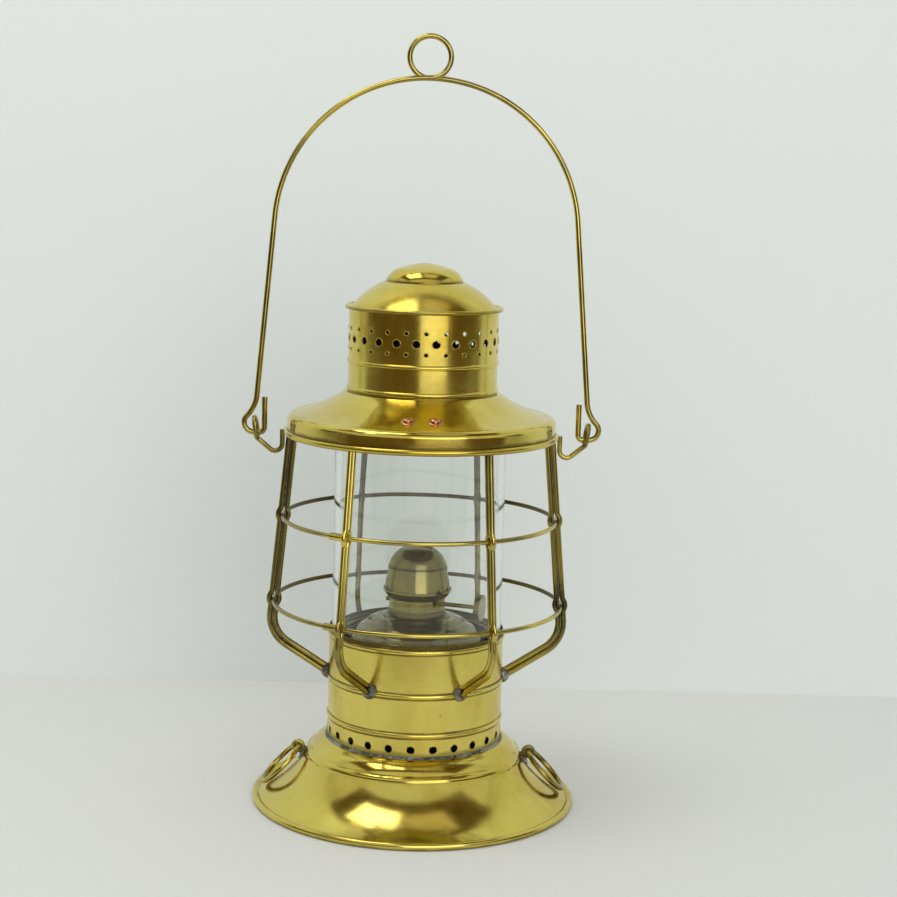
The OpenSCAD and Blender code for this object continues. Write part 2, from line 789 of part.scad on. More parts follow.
module rivet_washers() {
    color("#b07a60")
        at_rivets()
            translate([0, 0, washer_z])
                difference() {
                    cylinder(d = washer_d, h = washer_t);
                    translate([0, 0, -washer_t]) cylinder(d = rivet_d + 2 * seat_gap, h = 3 * washer_t);
                }
}

// Chimney
module chimney_drum() {
    color("#b39d48")
        difference() {
            rotate_extrude()
                beaded_wall(drum_r, drum_z, ledge_z, [drum_z + drum_bead_low, drum_z + drum_bead_mid]);
            hole_ring(drum_r, drum_z + hole_row, hole_d, hole_count, hole_turn);
            for (s = [-1, 1])
                hole_ring(drum_r, drum_z + hole_row + s * small_row_pitch, small_hole_d, hole_count,
                    hole_turn + 180 / hole_count);
        }
}

cap_rim_r = drum_r + seat_gap + cap_bead_r;
cap_foot_r = drum_r - 2 * sheet_t;
cap_top_z = ledge_z + cap_t + cap_h;
cap_line = concat(
    [[cap_rim_r, ledge_z + cap_t]],
    bow([cap_foot_r, ledge_z + cap_t], [crown_r + sheet_t, cap_top_z], -cap_swell, 12),
    [[crown_r - 4 * sheet_t, cap_top_z]]
);

module chimney_cap() {
    color("#c6b05a")
        rotate_extrude() {
            polygon(sheet(cap_line, cap_t));
            difference() {
                translate([cap_rim_r, ledge_z]) circle(r = cap_bead_r);
                square([drum_r + seat_gap, ledge_z]);
            }
        }
}

crown_z = cap_top_z;
crown_line = concat(
    [[crown_r, crown_z]],
    bow([crown_r, crown_z + sheet_t], [crown_top_r, crown_z + crown_edge_h], -crown_edge_h / 5, 10),
    rest(bow([crown_top_r, crown_z + crown_edge_h], [sheet_t, crown_z + crown_h], -sheet_t / 2, 8)),
    [[0, crown_z + crown_h]]
);

module cap_crown() {
    color("#c9b464") rotate_extrude() polygon(sheet(crown_line, cap_t));
}

// Bail: the leg's line lies arch_r from the arch's centre, and a back bend of radius back_r
// touches both that line and the hook's outer bend
shank_d = ear_d - 2 * seat_gap;
ear_low_z = frame_z + frame_bead_r - ear_leg_l;
ear_leg_x = guard_r(ear_low_z) + guard_wire_d + seat_gap / 2 + ear_gap + shank_d / 2;
hook_x = ear_leg_x + hook_out;
arch_r = hook_x - arch_in;
arch_z = cross_z - arch_r;
hook_z = pivot_z + hook_r;
leg_n = [cos(leg_lean), sin(leg_lean)];
leg_d = [sin(leg_lean), -cos(leg_lean)];
hook_c = [hook_x, hook_z - arch_z];
leg_l = hook_c * leg_d - sqrt(pow(hook_r + back_r, 2) - pow(arch_r + back_r - hook_c * leg_n, 2));
back_c = (arch_r + back_r) * leg_n + leg_l * leg_d;
hook_a = atan2(back_c[1] - hook_c[1], back_c[0] - hook_c[0]);
tail_x = hook_x - hook_flat - hook_in_r;
cross_y = (bail_d + cross_gap) / 2;
half_tilt = asin(cross_y / bail_h);
loop_tilt = asin(cross_y / loop_r / 2);

// Right half, from the hook's tail to the crossing, and the half of the loop that follows
// from the other side
module bail_half() {
    translate([0, 0, pivot_z])
        rotate([-half_tilt, 0, 0])
            translate([tail_x, 0, hook_in_r + hook_tail])
                rotate([0, 180, 0])
                    run(hook_tail, bail_d)
                        bend(hook_in_r, 90, bail_d, -1)
                            run(hook_flat, bail_d)
                                bend(hook_r, 90 + hook_a, bail_d, -1)
                                    run(0, bail_d)
                                        bend(back_r, hook_a - leg_lean, bail_d)
                                            run(leg_l, bail_d)
                                                bend(arch_r, 90 - leg_lean, bail_d, -1)
                                                    run(0, bail_d);
    translate([0, -cross_y, pivot_z + bail_h * cos(half_tilt)])
        rotate([-loop_tilt, 0, 0])
            rotate([0, 90, 0]) bend(loop_r, 180, bail_d, -1);
}

module bail() {
    color("#a3944a") {
        for (a = [0, 180])
            rotate([0, 0, a]) bail_half();
        translate([0, 0, pivot_z + bail_h * cos(half_tilt) + 2 * loop_r * cos(loop_tilt)])
            rotate([0, 90, 0]) run(0, bail_d);
    }
}

// Bail ears
eye_x = hook_x - hook_flat / 2;
eye_low = eye_r - (bail_d + ear_d) / 2 - eye_gap;
ear_bend = [ear_leg_x + ear_bend_r, ear_low_z];
eye_foot = [eye_x, pivot_z] - (eye_r - eye_low) * [sin(eye_lean), cos(eye_lean)];
ear_reach = eye_foot - ear_bend;
ear_a = atan2(ear_reach[1], ear_reach[0]) + asin(ear_bend_r / norm(ear_reach));
shank_l = sqrt(ear_reach * ear_reach - ear_bend_r * ear_bend_r);

module bail_ear() {
    color("#8b7d3a")
        difference() {
            union() {
                translate([eye_x, 0, pivot_z])
                    rotate([0, eye_lean, 0])
                        translate([0, 0, eye_low])
                            rotate([0, 0, 90])
                                translate([-eye_r, 0, 0])
                                    run(eye_l, ear_d)
                                        bend(eye_r, 180, ear_d)
                                            run(eye_l, ear_d)
                                                bend(eye_r, 180, ear_d);
                translate([ear_leg_x, 0, frame_z + frame_bead_r])
                    rotate([0, 180, 0])
                        run(ear_leg_l, shank_d)
                            bend(ear_bend_r, 90 + ear_a, shank_d, -1)
                                run(shank_l, shank_d);
            }
            translate([0, 0, frame_z + frame_bead_r]) ring_wire(frame_r, 2 * frame_bead_r + seat_gap);
        }
}

module right_bail_ear() { bail_ear(); }
module left_bail_ear() { mirror([1, 0, 0]) bail_ear(); }

// Lashing rings
lash_x = step_low_r + lash_out;
lash_z = step_low_z + lash_rise;
lash_slope = flare_slope + lash_over;
lash_r = (norm([rim_x - lash_x, rim_z - lash_z]) - lash_short) / 2;
staple_tilt = 90 - flare_slope - flare_turn / 2;
staple_r = (lash_d + staple_d) / 2 + staple_gap;

module lashing_ring() {
    color("#a08f45")
        translate([lash_x, 0, lash_z])
            rotate([0, lash_slope, 0])
                translate([lash_r, 0, 0]) ring_wire(lash_r, lash_d);
}

module right_lashing_ring() { lashing_ring(); }
module left_lashing_ring() { mirror([1, 0, 0]) lashing_ring(); }

// Staple: an eye round the ring's wire and a foot square to the skirt
module staple_wire(extra) {
    translate([lash_x, 0, lash_z]) {
        rotate([90, 0, 0]) ring_wire(staple_r, staple_d + extra);
        rotate([0, -90 - staple_tilt, 0])
            translate([0, 0, staple_r]) cylinder(d = staple_d - 2 * seat_gap + extra, h = 2 * staple_d);
    }
}

module ring_staple() {
    color("#93843f")
        difference() {
            staple_wire(0);
            skirt_filled();
        }
}

module right_ring_staple() { ring_staple(); }
module left_ring_staple() { mirror([1, 0, 0]) ring_staple(); }

// Radius of the ball whose cap makes the solder under a staple
staple_ball_r = (pow(staple_solder_r, 2) + pow(staple_solder_h, 2)) / (2 * staple_solder_h);
staple_reach = staple_r + staple_d / 2 + staple_ball_r - staple_solder_h + 2 * seat_gap;

module staple_solder() {
    color("#84867f")
        for (m = [0, 1])
            mirror([m, 0, 0])
                difference() {
                    translate([lash_x, 0, lash_z])
                        rotate([0, -90 - staple_tilt, 0])
                            translate([0, 0, staple_reach]) sphere(r = staple_ball_r);
                    skirt_filled();
                    translate([0, 0, -base_r]) cylinder(r = step_low_r - 2 * staple_d, h = 2 * base_r);
                    staple_wire(seat_gap);
                }
}

// Fount: a dished bottom, a wall with three tabs, and a domed top, soldered edge to edge
fount_edge = 2 * sheet_t;
fount_top_z = fount_z + fount_wall_h;
fount_bottom_line = concat(
    [[0, fount_z]],
    bow([fount_r - fount_edge, fount_z], [fount_r, fount_z + fount_edge], -fount_edge * (1 - cos(45)), 6),
    [[fount_r, fount_z + fount_edge + sheet_t]]
);
fount_top_line = concat(
    [[fount_r, fount_top_z]],
    bow([fount_r, fount_top_z + sheet_t], [mouth_r, mouth_z], -fount_swell, 14)
);
bayonet_angles = [90, 210, 330];
lug_in_r = fount_r + 2.5 * sheet_t;
tab_out_r = body_r - 3 * sheet_t;

module fount() {
    color("#9a8a45") {
        rotate_extrude()
            translate([fount_r - sheet_t, fount_z + fount_edge + sheet_t])
                square([sheet_t, fount_wall_h - fount_edge - sheet_t]);
        for (a = bayonet_angles)
            rotate([0, 0, a - bayonet_arc / 2])
                rotate_extrude(angle = bayonet_arc)
                    translate([fount_r - sheet_t / 2, lug_z + lug_gap])
                        square([tab_out_r - fount_r + sheet_t / 2, bayonet_t]);
    }
}

module fount_bottom() {
    color("#8f8042") rotate_extrude() polygon(sheet(fount_bottom_line, sheet_t));
}

module fount_top() {
    color("#a09048") rotate_extrude() polygon(sheet(fount_top_line, sheet_t));
}

module fount_lugs() {
    color("#8d7d40")
        for (a = bayonet_angles)
            rotate([0, 0, a - bayonet_arc / 2])
                rotate_extrude(angle = bayonet_arc)
                    translate([lug_in_r, lug_z - bayonet_t])
                        square([seat_r - lug_in_r, bayonet_t]);
}

module fount_collar() {
    color("#8a8460")
        rotate_extrude()
            translate([mouth_r - sheet_t, mouth_z]) square([collar_w + sheet_t, collar_h]);
}

// Burner
spigot_r = mouth_r - sheet_t - seat_gap;
gallery_r = cup_r + gallery_w;
cup_line = concat(
    [[0, cup_z], [cup_r, cup_z]],
    bow([cup_r, cup_z + cup_h], [gallery_r, gallery_z], -burner_t / 2, 6),
    [[gallery_r, gallery_z + 2 * burner_t]]
);
wick_off = wick_t / 2 + wick_gap + wheel_r;
shaft_l = sqrt(pow(globe_r - globe_wall - knob_gap, 2) - pow(wick_off + knob_d / 2, 2)) - knob_t;

module burner_frame() {
    rotate([0, 0, burner_turn]) children();
}

module burner_body() {
    slot_w = wick_w + 2 * (wick_gap + wick_tube_t + seat_gap);
    slot_t = wick_t + 2 * (wick_gap + wick_tube_t + seat_gap);
    color("#8c8a70")
        burner_frame()
            difference() {
                rotate_extrude() {
                    polygon(sheet(cup_line, burner_t));
                    translate([spigot_r - sheet_t, mouth_z])
                        square([sheet_t, cup_z - mouth_z + burner_t / 2]);
                }
                translate([-slot_w / 2, -slot_t / 2, cup_z - collar_h])
                    cube([slot_w, slot_t, 2 * collar_h]);
                translate([-2 * cup_r, -wick_off, shaft_z])
                    rotate([0, 90, 0]) cylinder(d = shaft_d + 2 * shaft_gap, h = 4 * cup_r);
                for (i = [1 : cup_hole_count])
                    rotate([0, 0, 90 - cup_hole_arc / 2 + i * cup_hole_arc / (cup_hole_count + 1)])
                        translate([cup_r - 3 * burner_t, 0, shaft_z])
                            rotate([0, 90, 0]) cylinder(d = cup_hole_d, h = 6 * burner_t);
            }
}

dome_r = gallery_r - burner_t - hood_gap / 2;
dome_waist = [dome_r - dome_taper, dome_z + dome_skirt_h];
dome_crown = [dome_top_r, dome_z + dome_h - dome_cap_h];
dome_line = concat(
    bow([dome_r, dome_z], dome_waist, -burner_t / 2, 8),
    bow(dome_waist + [dome_lip, 0], dome_crown, -dome_swell, 12),
    rest(bow(dome_crown, [burner_t, dome_z + dome_h], -burner_t / 2, 6)),
    [[0, dome_z + dome_h]]
);

module burner_dome() {
    slot_w = wick_w + 6 * wick_gap;
    slot_t = wick_t + 6 * wick_gap;
    color("#8f8d74")
        burner_frame()
            difference() {
                rotate_extrude() polygon(sheet(dome_line, burner_t));
                translate([-slot_w / 2, -slot_t / 2, dome_z + dome_h / 2]) cube([slot_w, slot_t, dome_h]);
            }
}

module wick_tube() {
    in_w = wick_w + 2 * wick_gap;
    in_t = wick_t + 2 * wick_gap;
    out_w = in_w + 2 * wick_tube_t;
    out_t = in_t + 2 * wick_tube_t;
    window = 1.4 * wheel_r;
    color("#938a5c")
        burner_frame()
            translate([0, 0, cup_z])
                difference() {
                    translate([-out_w / 2, -out_t / 2, -wick_tube_low])
                        cube([out_w, out_t, wick_tube_low + wick_tube_high]);
                    translate([-in_w / 2, -in_t / 2, -2 * wick_tube_low])
                        cube([in_w, in_t, 3 * wick_tube_low + 2 * wick_tube_high]);
                    for (s = [-1, 1])
                        translate([s * wheel_pitch / 2 - wheel_w, -out_t, shaft_rise - window / 2])
                            cube([2 * wheel_w, out_t, window]);
                }
}

module wick() {
    color("#e8dfc8")
        burner_frame()
            translate([-wick_w / 2, -wick_t / 2, wick_top_z - wick_l])
                cube([wick_w, wick_t, wick_l]);
}

// Frame of the wick shaft: +Z along it towards the knob
module shaft_frame() {
    burner_frame()
        translate([0, -wick_off, shaft_z])
            rotate([0, 90, 0]) children();
}

module wick_shaft() {
    inner = cup_r + sheet_t;
    tooth = 360 / wheel_teeth;
    color("#97906a")
        shaft_frame() {
            translate([0, 0, -inner]) cylinder(d = shaft_d, h = inner + shaft_l);
            for (s = [-1, 1])
                translate([0, 0, s * wheel_pitch / 2 - wheel_w / 2])
                    linear_extrude(wheel_w)
                        polygon([for (i = [0 : 2 * wheel_teeth - 1])
                            (wheel_r - (i % 2) * tooth_h) * [cos(i * tooth / 2), sin(i * tooth / 2)]]);
        }
}

module wick_knob() {
    notch = PI * knob_d / knob_notches / 4;
    color("#8a8468")
        shaft_frame()
            translate([0, 0, shaft_l])
                linear_extrude(knob_t)
                    difference() {
                        circle(d = knob_d);
                        for (i = [0 : knob_notches - 1])
                            rotate(i * 360 / knob_notches) translate([knob_d / 2, 0]) circle(r = notch);
                    }
}

base_skirt();
lower_body();
base_solder_seam();
globe_seat();
globe();
guard_outer_right();
guard_outer_back_right();
guard_outer_back_left();
guard_outer_left();
guard_outer_front_left();
guard_outer_front_right();
guard_inner_right();
guard_inner_back_right();
guard_inner_back_left();
guard_inner_left();
guard_inner_front_left();
guard_inner_front_right();
guard_solder();
upper_guard_ring();
lower_guard_ring();
upper_ring_ferrule();
lower_ring_ferrule();
frame_top_ring();
hood();
globe_springs();
hood_rivets();
rivet_washers();
chimney_drum();
chimney_cap();
cap_crown();
bail();
left_bail_ear();
right_bail_ear();
left_lashing_ring();
right_lashing_ring();
left_ring_staple();
right_ring_staple();
staple_solder();
fount();
fount_bottom();
fount_top();
fount_lugs();
fount_collar();
burner_body();
burner_dome();
wick_tube();
wick();
wick_shaft();
wick_knob();
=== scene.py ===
"""Ship oil lamp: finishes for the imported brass, glass, solder and burner pieces, and a studio stage."""
import math

import bmesh
import bpy
from bpy.props import FloatProperty, FloatVectorProperty, IntProperty, PointerProperty
from mathutils import Matrix, Vector, noise


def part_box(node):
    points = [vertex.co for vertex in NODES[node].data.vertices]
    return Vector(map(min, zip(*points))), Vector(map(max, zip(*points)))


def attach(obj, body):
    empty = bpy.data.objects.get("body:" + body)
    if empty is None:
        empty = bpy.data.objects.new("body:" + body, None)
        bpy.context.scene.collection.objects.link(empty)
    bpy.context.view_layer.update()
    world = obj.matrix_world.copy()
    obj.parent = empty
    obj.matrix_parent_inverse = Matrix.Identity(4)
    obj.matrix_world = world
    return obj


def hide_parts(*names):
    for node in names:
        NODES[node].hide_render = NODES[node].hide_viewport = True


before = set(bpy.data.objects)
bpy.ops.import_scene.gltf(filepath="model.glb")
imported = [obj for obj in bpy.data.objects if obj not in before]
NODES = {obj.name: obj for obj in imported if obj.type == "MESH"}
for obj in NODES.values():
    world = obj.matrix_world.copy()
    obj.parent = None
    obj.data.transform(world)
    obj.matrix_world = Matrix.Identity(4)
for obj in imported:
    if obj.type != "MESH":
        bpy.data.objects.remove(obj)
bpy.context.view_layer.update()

bl_info = {
    "name": "Ship Oil Lamp",
    "version": (1, 0, 0),
    "blender": (4, 5, 0),
    "location": "3D View > Sidebar > Lamp",
    "description": "Finishes for a brass oil lamp and a plain stage to show it on",
    "category": "Object",
}

MM = 0.001
# Stage: half the width of floor and backdrop
REACH = 4.0
AIM = (0, 0, 0.2)
WARM_WHITE = (1.0, 0.985, 0.95)
# Lights: name, place, point they face, width, height, watts, colour
LIGHTS = [
    ("window", (0.485, -1.69, 0.66), AIM, 1.4, 1.4, 10.0, (1.0, 0.99, 0.96)),
    ("overhead_left", (-0.45, -0.17, 1.35), (-0.45, -0.17, 0), 0.6, 0.5, 3.2, WARM_WHITE),
    ("overhead_right", (0.22, -0.17, 1.35), (0.22, -0.17, 0), 0.5, 0.5, 0.45, WARM_WHITE),
]
# Upright cards: name, ends on the floor
CARD_HEIGHT = 0.9
CARDS = [
    ("card_left", (-1.8, 0.15), (-0.45, -2.3)),
    ("card_front", (-0.45, -2.3), (1.2, -2.3)),
    ("card_right", (1.2, -2.3), (1.8, 0.15)),
]
CEILING_HEIGHT = 1.45
CEILING_LEFT, CEILING_RIGHT, CEILING_FRONT = -1.3, 1.2, -0.75
ROOM_FLOOR_RISE = 2 * MM
# Camera: side of the square image in pixels, width of the sensor in millimetres
IMAGE_SIDE = 897
SENSOR = 36.0
# Meshes: points closer than this are one; sheet faces that meet at less than this angle are one sweep
SAME_POINT = 1e-6
SWEEP_ANGLE = math.radians(6)
# Globe: faces up the wall, over the lip and round the axis; waves in a metre; offset of the inner waves
GLOBE_ROWS, LIP_STEPS, GLOBE_SEGMENTS = 60, 12, 180
WAVES_ACROSS, WAVES_ALONG, INNER_SHIFT = 45, 22, 7.0
# Washer: radius of its ring and of the ring's section, as shares of its diameter
WASHER_MIDDLE, WASHER_SECTION = 0.36, 0.14
# Wick cord: points along it, its radius as a share of the pitch, depth of a pinch
CORD_POINTS, CORD_RADIUS, CORD_PINCH = 180, 0.44, 0.12

# Pieces of the frame by finish, the sheets with their roughness
SHEET_GLOSS = {
    "base_skirt": 0.13, "lower_body": 0.22, "hood": 0.12, "chimney_drum": 0.19, "chimney_cap": 0.2,
    "cap_crown": 0.14,
}
TRIM_NODES = ["frame_top_ring", "globe_seat", "globe_springs", "fount_lugs"]
SIDES = ["right", "back_right", "back_left", "left", "front_left", "front_right"]
GUARD_NODES = [f"guard_{strand}_{side}" for strand in ("outer", "inner") for side in SIDES]
RING_NODES = ["upper_guard_ring", "lower_guard_ring", "upper_ring_ferrule", "lower_ring_ferrule"]
BAIL_NODES = ["bail"]
EAR_NODES = ["left_bail_ear", "right_bail_ear", "left_ring_staple", "right_ring_staple"]
LASHING_NODES = ["left_lashing_ring", "right_lashing_ring"]
FOUNT_NODES = ["fount", "fount_bottom", "fount_collar"]
BURNER_NODES = ["burner_body", "burner_dome", "wick_tube", "wick_shaft", "wick_knob"]


class Signal:
    """A node socket that takes part in Python arithmetic."""

    def __init__(self, plan, socket):
        self.plan = plan
        self.socket = socket

    def math(self, operation, *values):
        return self.plan.node("ShaderNodeMath", {"operation": operation}, dict(enumerate(values)))

    def __add__(self, other):
        return self.math("ADD", self, other)

    def __radd__(self, other):
        return self.math("ADD", other, self)

    def __sub__(self, other):
        return self.math("SUBTRACT", self, other)

    def __rsub__(self, other):
        return self.math("SUBTRACT", other, self)

    def __mul__(self, other):
        return self.math("MULTIPLY", self, other)

    def __truediv__(self, other):
        return self.math("DIVIDE", self, other)

    def __pow__(self, other):
        return self.math("POWER", self, other)


class Plan:
    """A node tree and the one method that adds any node to it."""

    def __init__(self, tree):
        self.tree = tree

    def node(self, kind, settings=None, inputs=None, out=0):
        made = self.tree.nodes.new(kind)
        for name, value in (settings or {}).items():
            setattr(made, name, value)
        for key, value in (inputs or {}).items():
            if isinstance(value, Signal):
                self.tree.links.new(value.socket, made.inputs[key])
            else:
                made.inputs[key].default_value = value
        return Signal(self, made.outputs[out]) if len(made.outputs) else None

    def mix(self, factor, first, second):
        """Colour between first and second."""
        inputs = {0: factor, 6: first, 7: second}
        return self.node("ShaderNodeMix", {"data_type": "RGBA"}, inputs, out=2)

    def step(self, value, low, high):
        """0 below low, 1 above high, smooth between them."""
        inputs = {"Value": value, "From Min": low, "From Max": high}
        return self.node("ShaderNodeMapRange", {"interpolation_type": "SMOOTHSTEP"}, inputs)

    def noise(self, vector, scale, detail=3.0, roughness=0.55, distortion=0.0):
        inputs = {
            "Vector": vector,
            "Scale": scale,
            "Detail": detail,
            "Roughness": roughness,
            "Distortion": distortion,
        }
        return self.node("ShaderNodeTexNoise", {}, inputs)

    def vector(self, x, y, z):
        return self.node("ShaderNodeCombineXYZ", {}, {0: x, 1: y, 2: z})


class Finish(Plan):
    """A material's node tree, with the object's own coordinates ready for use."""

    def __init__(self, name):
        self.material = bpy.data.materials.new(name)
        self.material.use_nodes = True
        super().__init__(self.material.node_tree)
        self.tree.nodes.clear()
        self.place = self.node("ShaderNodeTexCoord", {}, {}, out="Object")
        split = self.tree.nodes.new("ShaderNodeSeparateXYZ")
        self.tree.links.new(self.place.socket, split.inputs[0])
        self.x, self.y, self.z = (Signal(self, socket) for socket in split.outputs)
        self.radius = (self.x * self.x + self.y * self.y) ** 0.5

    def spun(self, across, along):
        """Coordinates for marks that run round the lamp's axis, as a spun sheet has them."""
        angle = self.x.math("ARCTAN2", self.y, self.x)
        return self.vector(self.radius * across, angle * along, self.z * across)

    def bump(self, height, distance, strength=1.0, under=None):
        inputs = {"Height": height, "Distance": distance, "Strength": strength}
        if under is not None:
            inputs["Normal"] = under
        return self.node("ShaderNodeBump", {}, inputs, out="Normal")

    def close(self, **sockets):
        """Principled shader with these sockets, as the material's surface."""
        inputs = {name.replace("_", " ").title(): value for name, value in sockets.items()}
        inputs = {name.replace("Ior", "IOR"): value for name, value in inputs.items()}
        shader = self.node("ShaderNodeBsdfPrincipled", {}, inputs, out="BSDF")
        self.node("ShaderNodeOutputMaterial", {}, {"Surface": shader})
        return self.material


def colour(value):
    """A colour property as the four numbers of a socket."""
    return (value[0], value[1], value[2], 1.0)


def tint(name, about, rgb):
    return FloatVectorProperty(
        name=name, description=about, subtype="COLOR", size=3, min=0, max=1, default=rgb)


def length(name, about, metres):
    return FloatProperty(
        name=name, description=about, subtype="DISTANCE", unit="LENGTH", default=metres, min=0)


def turn(name, about, degrees):
    return FloatProperty(name=name, description=about, subtype="ANGLE", default=math.radians(degrees))


def count(name, about, number):
    return IntProperty(name=name, description=about, default=number, min=3)


class LampColours(bpy.types.PropertyGroup):
    """Colours of the lamp's metals, glass and wick."""

    polished: tint("Polished brass", "Brass where it is rubbed bright", (0.72, 0.595, 0.135))
    # Also painted sheen: the pale streaks stand partly for worn brass and partly for a highlight.
    wear_and_sheen: tint("Rubbed brass", "Pale streaks where the brass is worn bare", (0.88, 0.74, 0.19))
    aged: tint("Aged brass", "Brass that has gone deeper in colour", (0.54, 0.375, 0.03))
    # Also the colour of the painted shade in the creases, joins and gaps of the sheets.
    grime_and_shade: tint("Grime", "Dark brown tarnish in corners and spots", (0.075, 0.05, 0.016))
    wire: tint("Wire brass", "Guard and bail wire", (0.33, 0.275, 0.085))
    # Also the colour of the painted shade on the wires at the back.
    wire_dark: tint("Wire tarnish", "Tarnish on the wires", (0.075, 0.064, 0.022))
    solder: tint("Solder", "Clean solder", (0.30, 0.295, 0.26))
    solder_dark: tint("Old solder", "Oxidised solder", (0.06, 0.06, 0.052))
    copper: tint("Copper", "Rivets and washers", (0.68, 0.34, 0.19))
    burner: tint("Burner brass", "Dull olive brass of the burner", (0.27, 0.235, 0.10))
    soot: tint("Soot", "Heat stain on the burner", (0.05, 0.045, 0.03))
    glass: tint("Glass", "Body colour of the globe", (0.965, 0.985, 0.97))
    cotton: tint("Cotton", "Wick", (0.80, 0.74, 0.60))


class LampSizes(bpy.types.PropertyGroup):
    """Sizes of the pieces that are made here."""

    rim_wire: length("Hole rim", "Thickness of the burr round a punched hole", 0.45 * MM)
    vent_holes: count("Vent holes", "Holes round the body", 25)
    vent_turn: turn("Vent turn", "Turn of the body's holes", -91.7)
    vent_rise: length("Vent height", "Height of the body's holes above its lower edge", 10.5 * MM)
    vent_width: length("Vent width", "Diameter of the body's holes", 4.8 * MM)
    drum_holes: count("Drum holes", "Holes in a row of the drum", 24)
    drum_turn: turn("Drum turn", "Turn of the drum's large holes", -95.3)
    drum_row: length("Drum row", "Height of the large holes above the drum's foot", 30.9 * MM)
    drum_row_gap: length("Drum row gap", "Distance of the small rows from the large one", 5.9 * MM)
    drum_hole: length("Drum hole", "Diameter of the large holes", 4.7 * MM)
    drum_small_hole: length("Small drum hole", "Diameter of the small holes", 2.5 * MM)
    bead_proud: length("Bead", "How far the beads of body and drum stand out", 0.9 * MM)
    bead_half: length("Bead half width", "Half the width of a bead", 1.7 * MM)
    bead_low: length("Low bead", "Height of the body's low bead above its lower edge", 18.5 * MM)
    bead_high: length("High bead", "Height of the body's high bead above its lower edge", 41.3 * MM)
    bead_top: length("Top bead", "Distance of the body's top bead from its upper edge", 3.6 * MM)
    fount_rings: length("Fount rings", "Pitch of the rings pressed in the fount's top", 5.5 * MM)
    globe_wave: length("Globe waves", "Depth of the waves in the hand-made glass", 0.12 * MM)
    solder_lump: length("Solder lumps", "Height of the lumps on the solder", 0.35 * MM)
    wick_cords: count("Wick cords", "Cords side by side in the wick", 13)
    wick_plait: length("Wick plait", "Length of one pinch of the wick's cords", 2.2 * MM)
    rivet_head: length("Rivet head", "Diameter of a rivet's head", 5.5 * MM)
    rivet_dome: length("Rivet dome", "Height of a rivet's head", 1.5 * MM)
    washer_width: length("Washer", "Diameter of a rivet's washer", 7.6 * MM)
    washer_thick: length("Washer thickness", "Thickness of a rivet's washer", 0.6 * MM)
    globe_wall: length("Globe wall", "Thickness of the glass", 3 * MM)


class LampStage(bpy.types.PropertyGroup):
    """Floor, backdrop, light and camera."""

    floor: tint("Floor", "Pale floor", (0.76, 0.76, 0.735))
    wall: tint("Backdrop", "Pale backdrop", (0.775, 0.81, 0.80))
    surround: tint("Surround", "Colour of the world", (0.675, 0.69, 0.685))
    ceiling: tint("Ceiling card", "Brown card over the lamp that the metal mirrors", (0.21, 0.13, 0.045))
    card: tint("Dark cards", "Warm dark cards that the metal mirrors", (0.20, 0.125, 0.042))
    table_front: length("Table edge", "Where the dark room begins that the metal mirrors", 0.43)
    wall_back: length("Backdrop distance", "Distance of the backdrop behind the axis", 0.245)
    eye_back: length("Camera distance", "Distance of the camera before the axis", 1.1156)
    eye_height: length("Camera height", "Height of the camera above the floor", 0.3771)
    eye_pitch: turn("Camera pitch", "Camera's tilt below the horizon", 8.564)
    eye_roll: turn("Camera roll", "Camera's turn about its own axis", 1.445)
    focal_pixels: FloatProperty(
        name="Focal length", description="Focal length in pixels of the square image", default=1946.1)
    axis_pixel: FloatProperty(
        name="Axis pixel", description="Image column that the camera's axis meets", default=420.79)


class LampSettings(bpy.types.PropertyGroup):
    """All settings of the lamp."""

    colours: PointerProperty(type=LampColours)
    sizes: PointerProperty(type=LampSizes)
    stage: PointerProperty(type=LampStage)


# Finishes


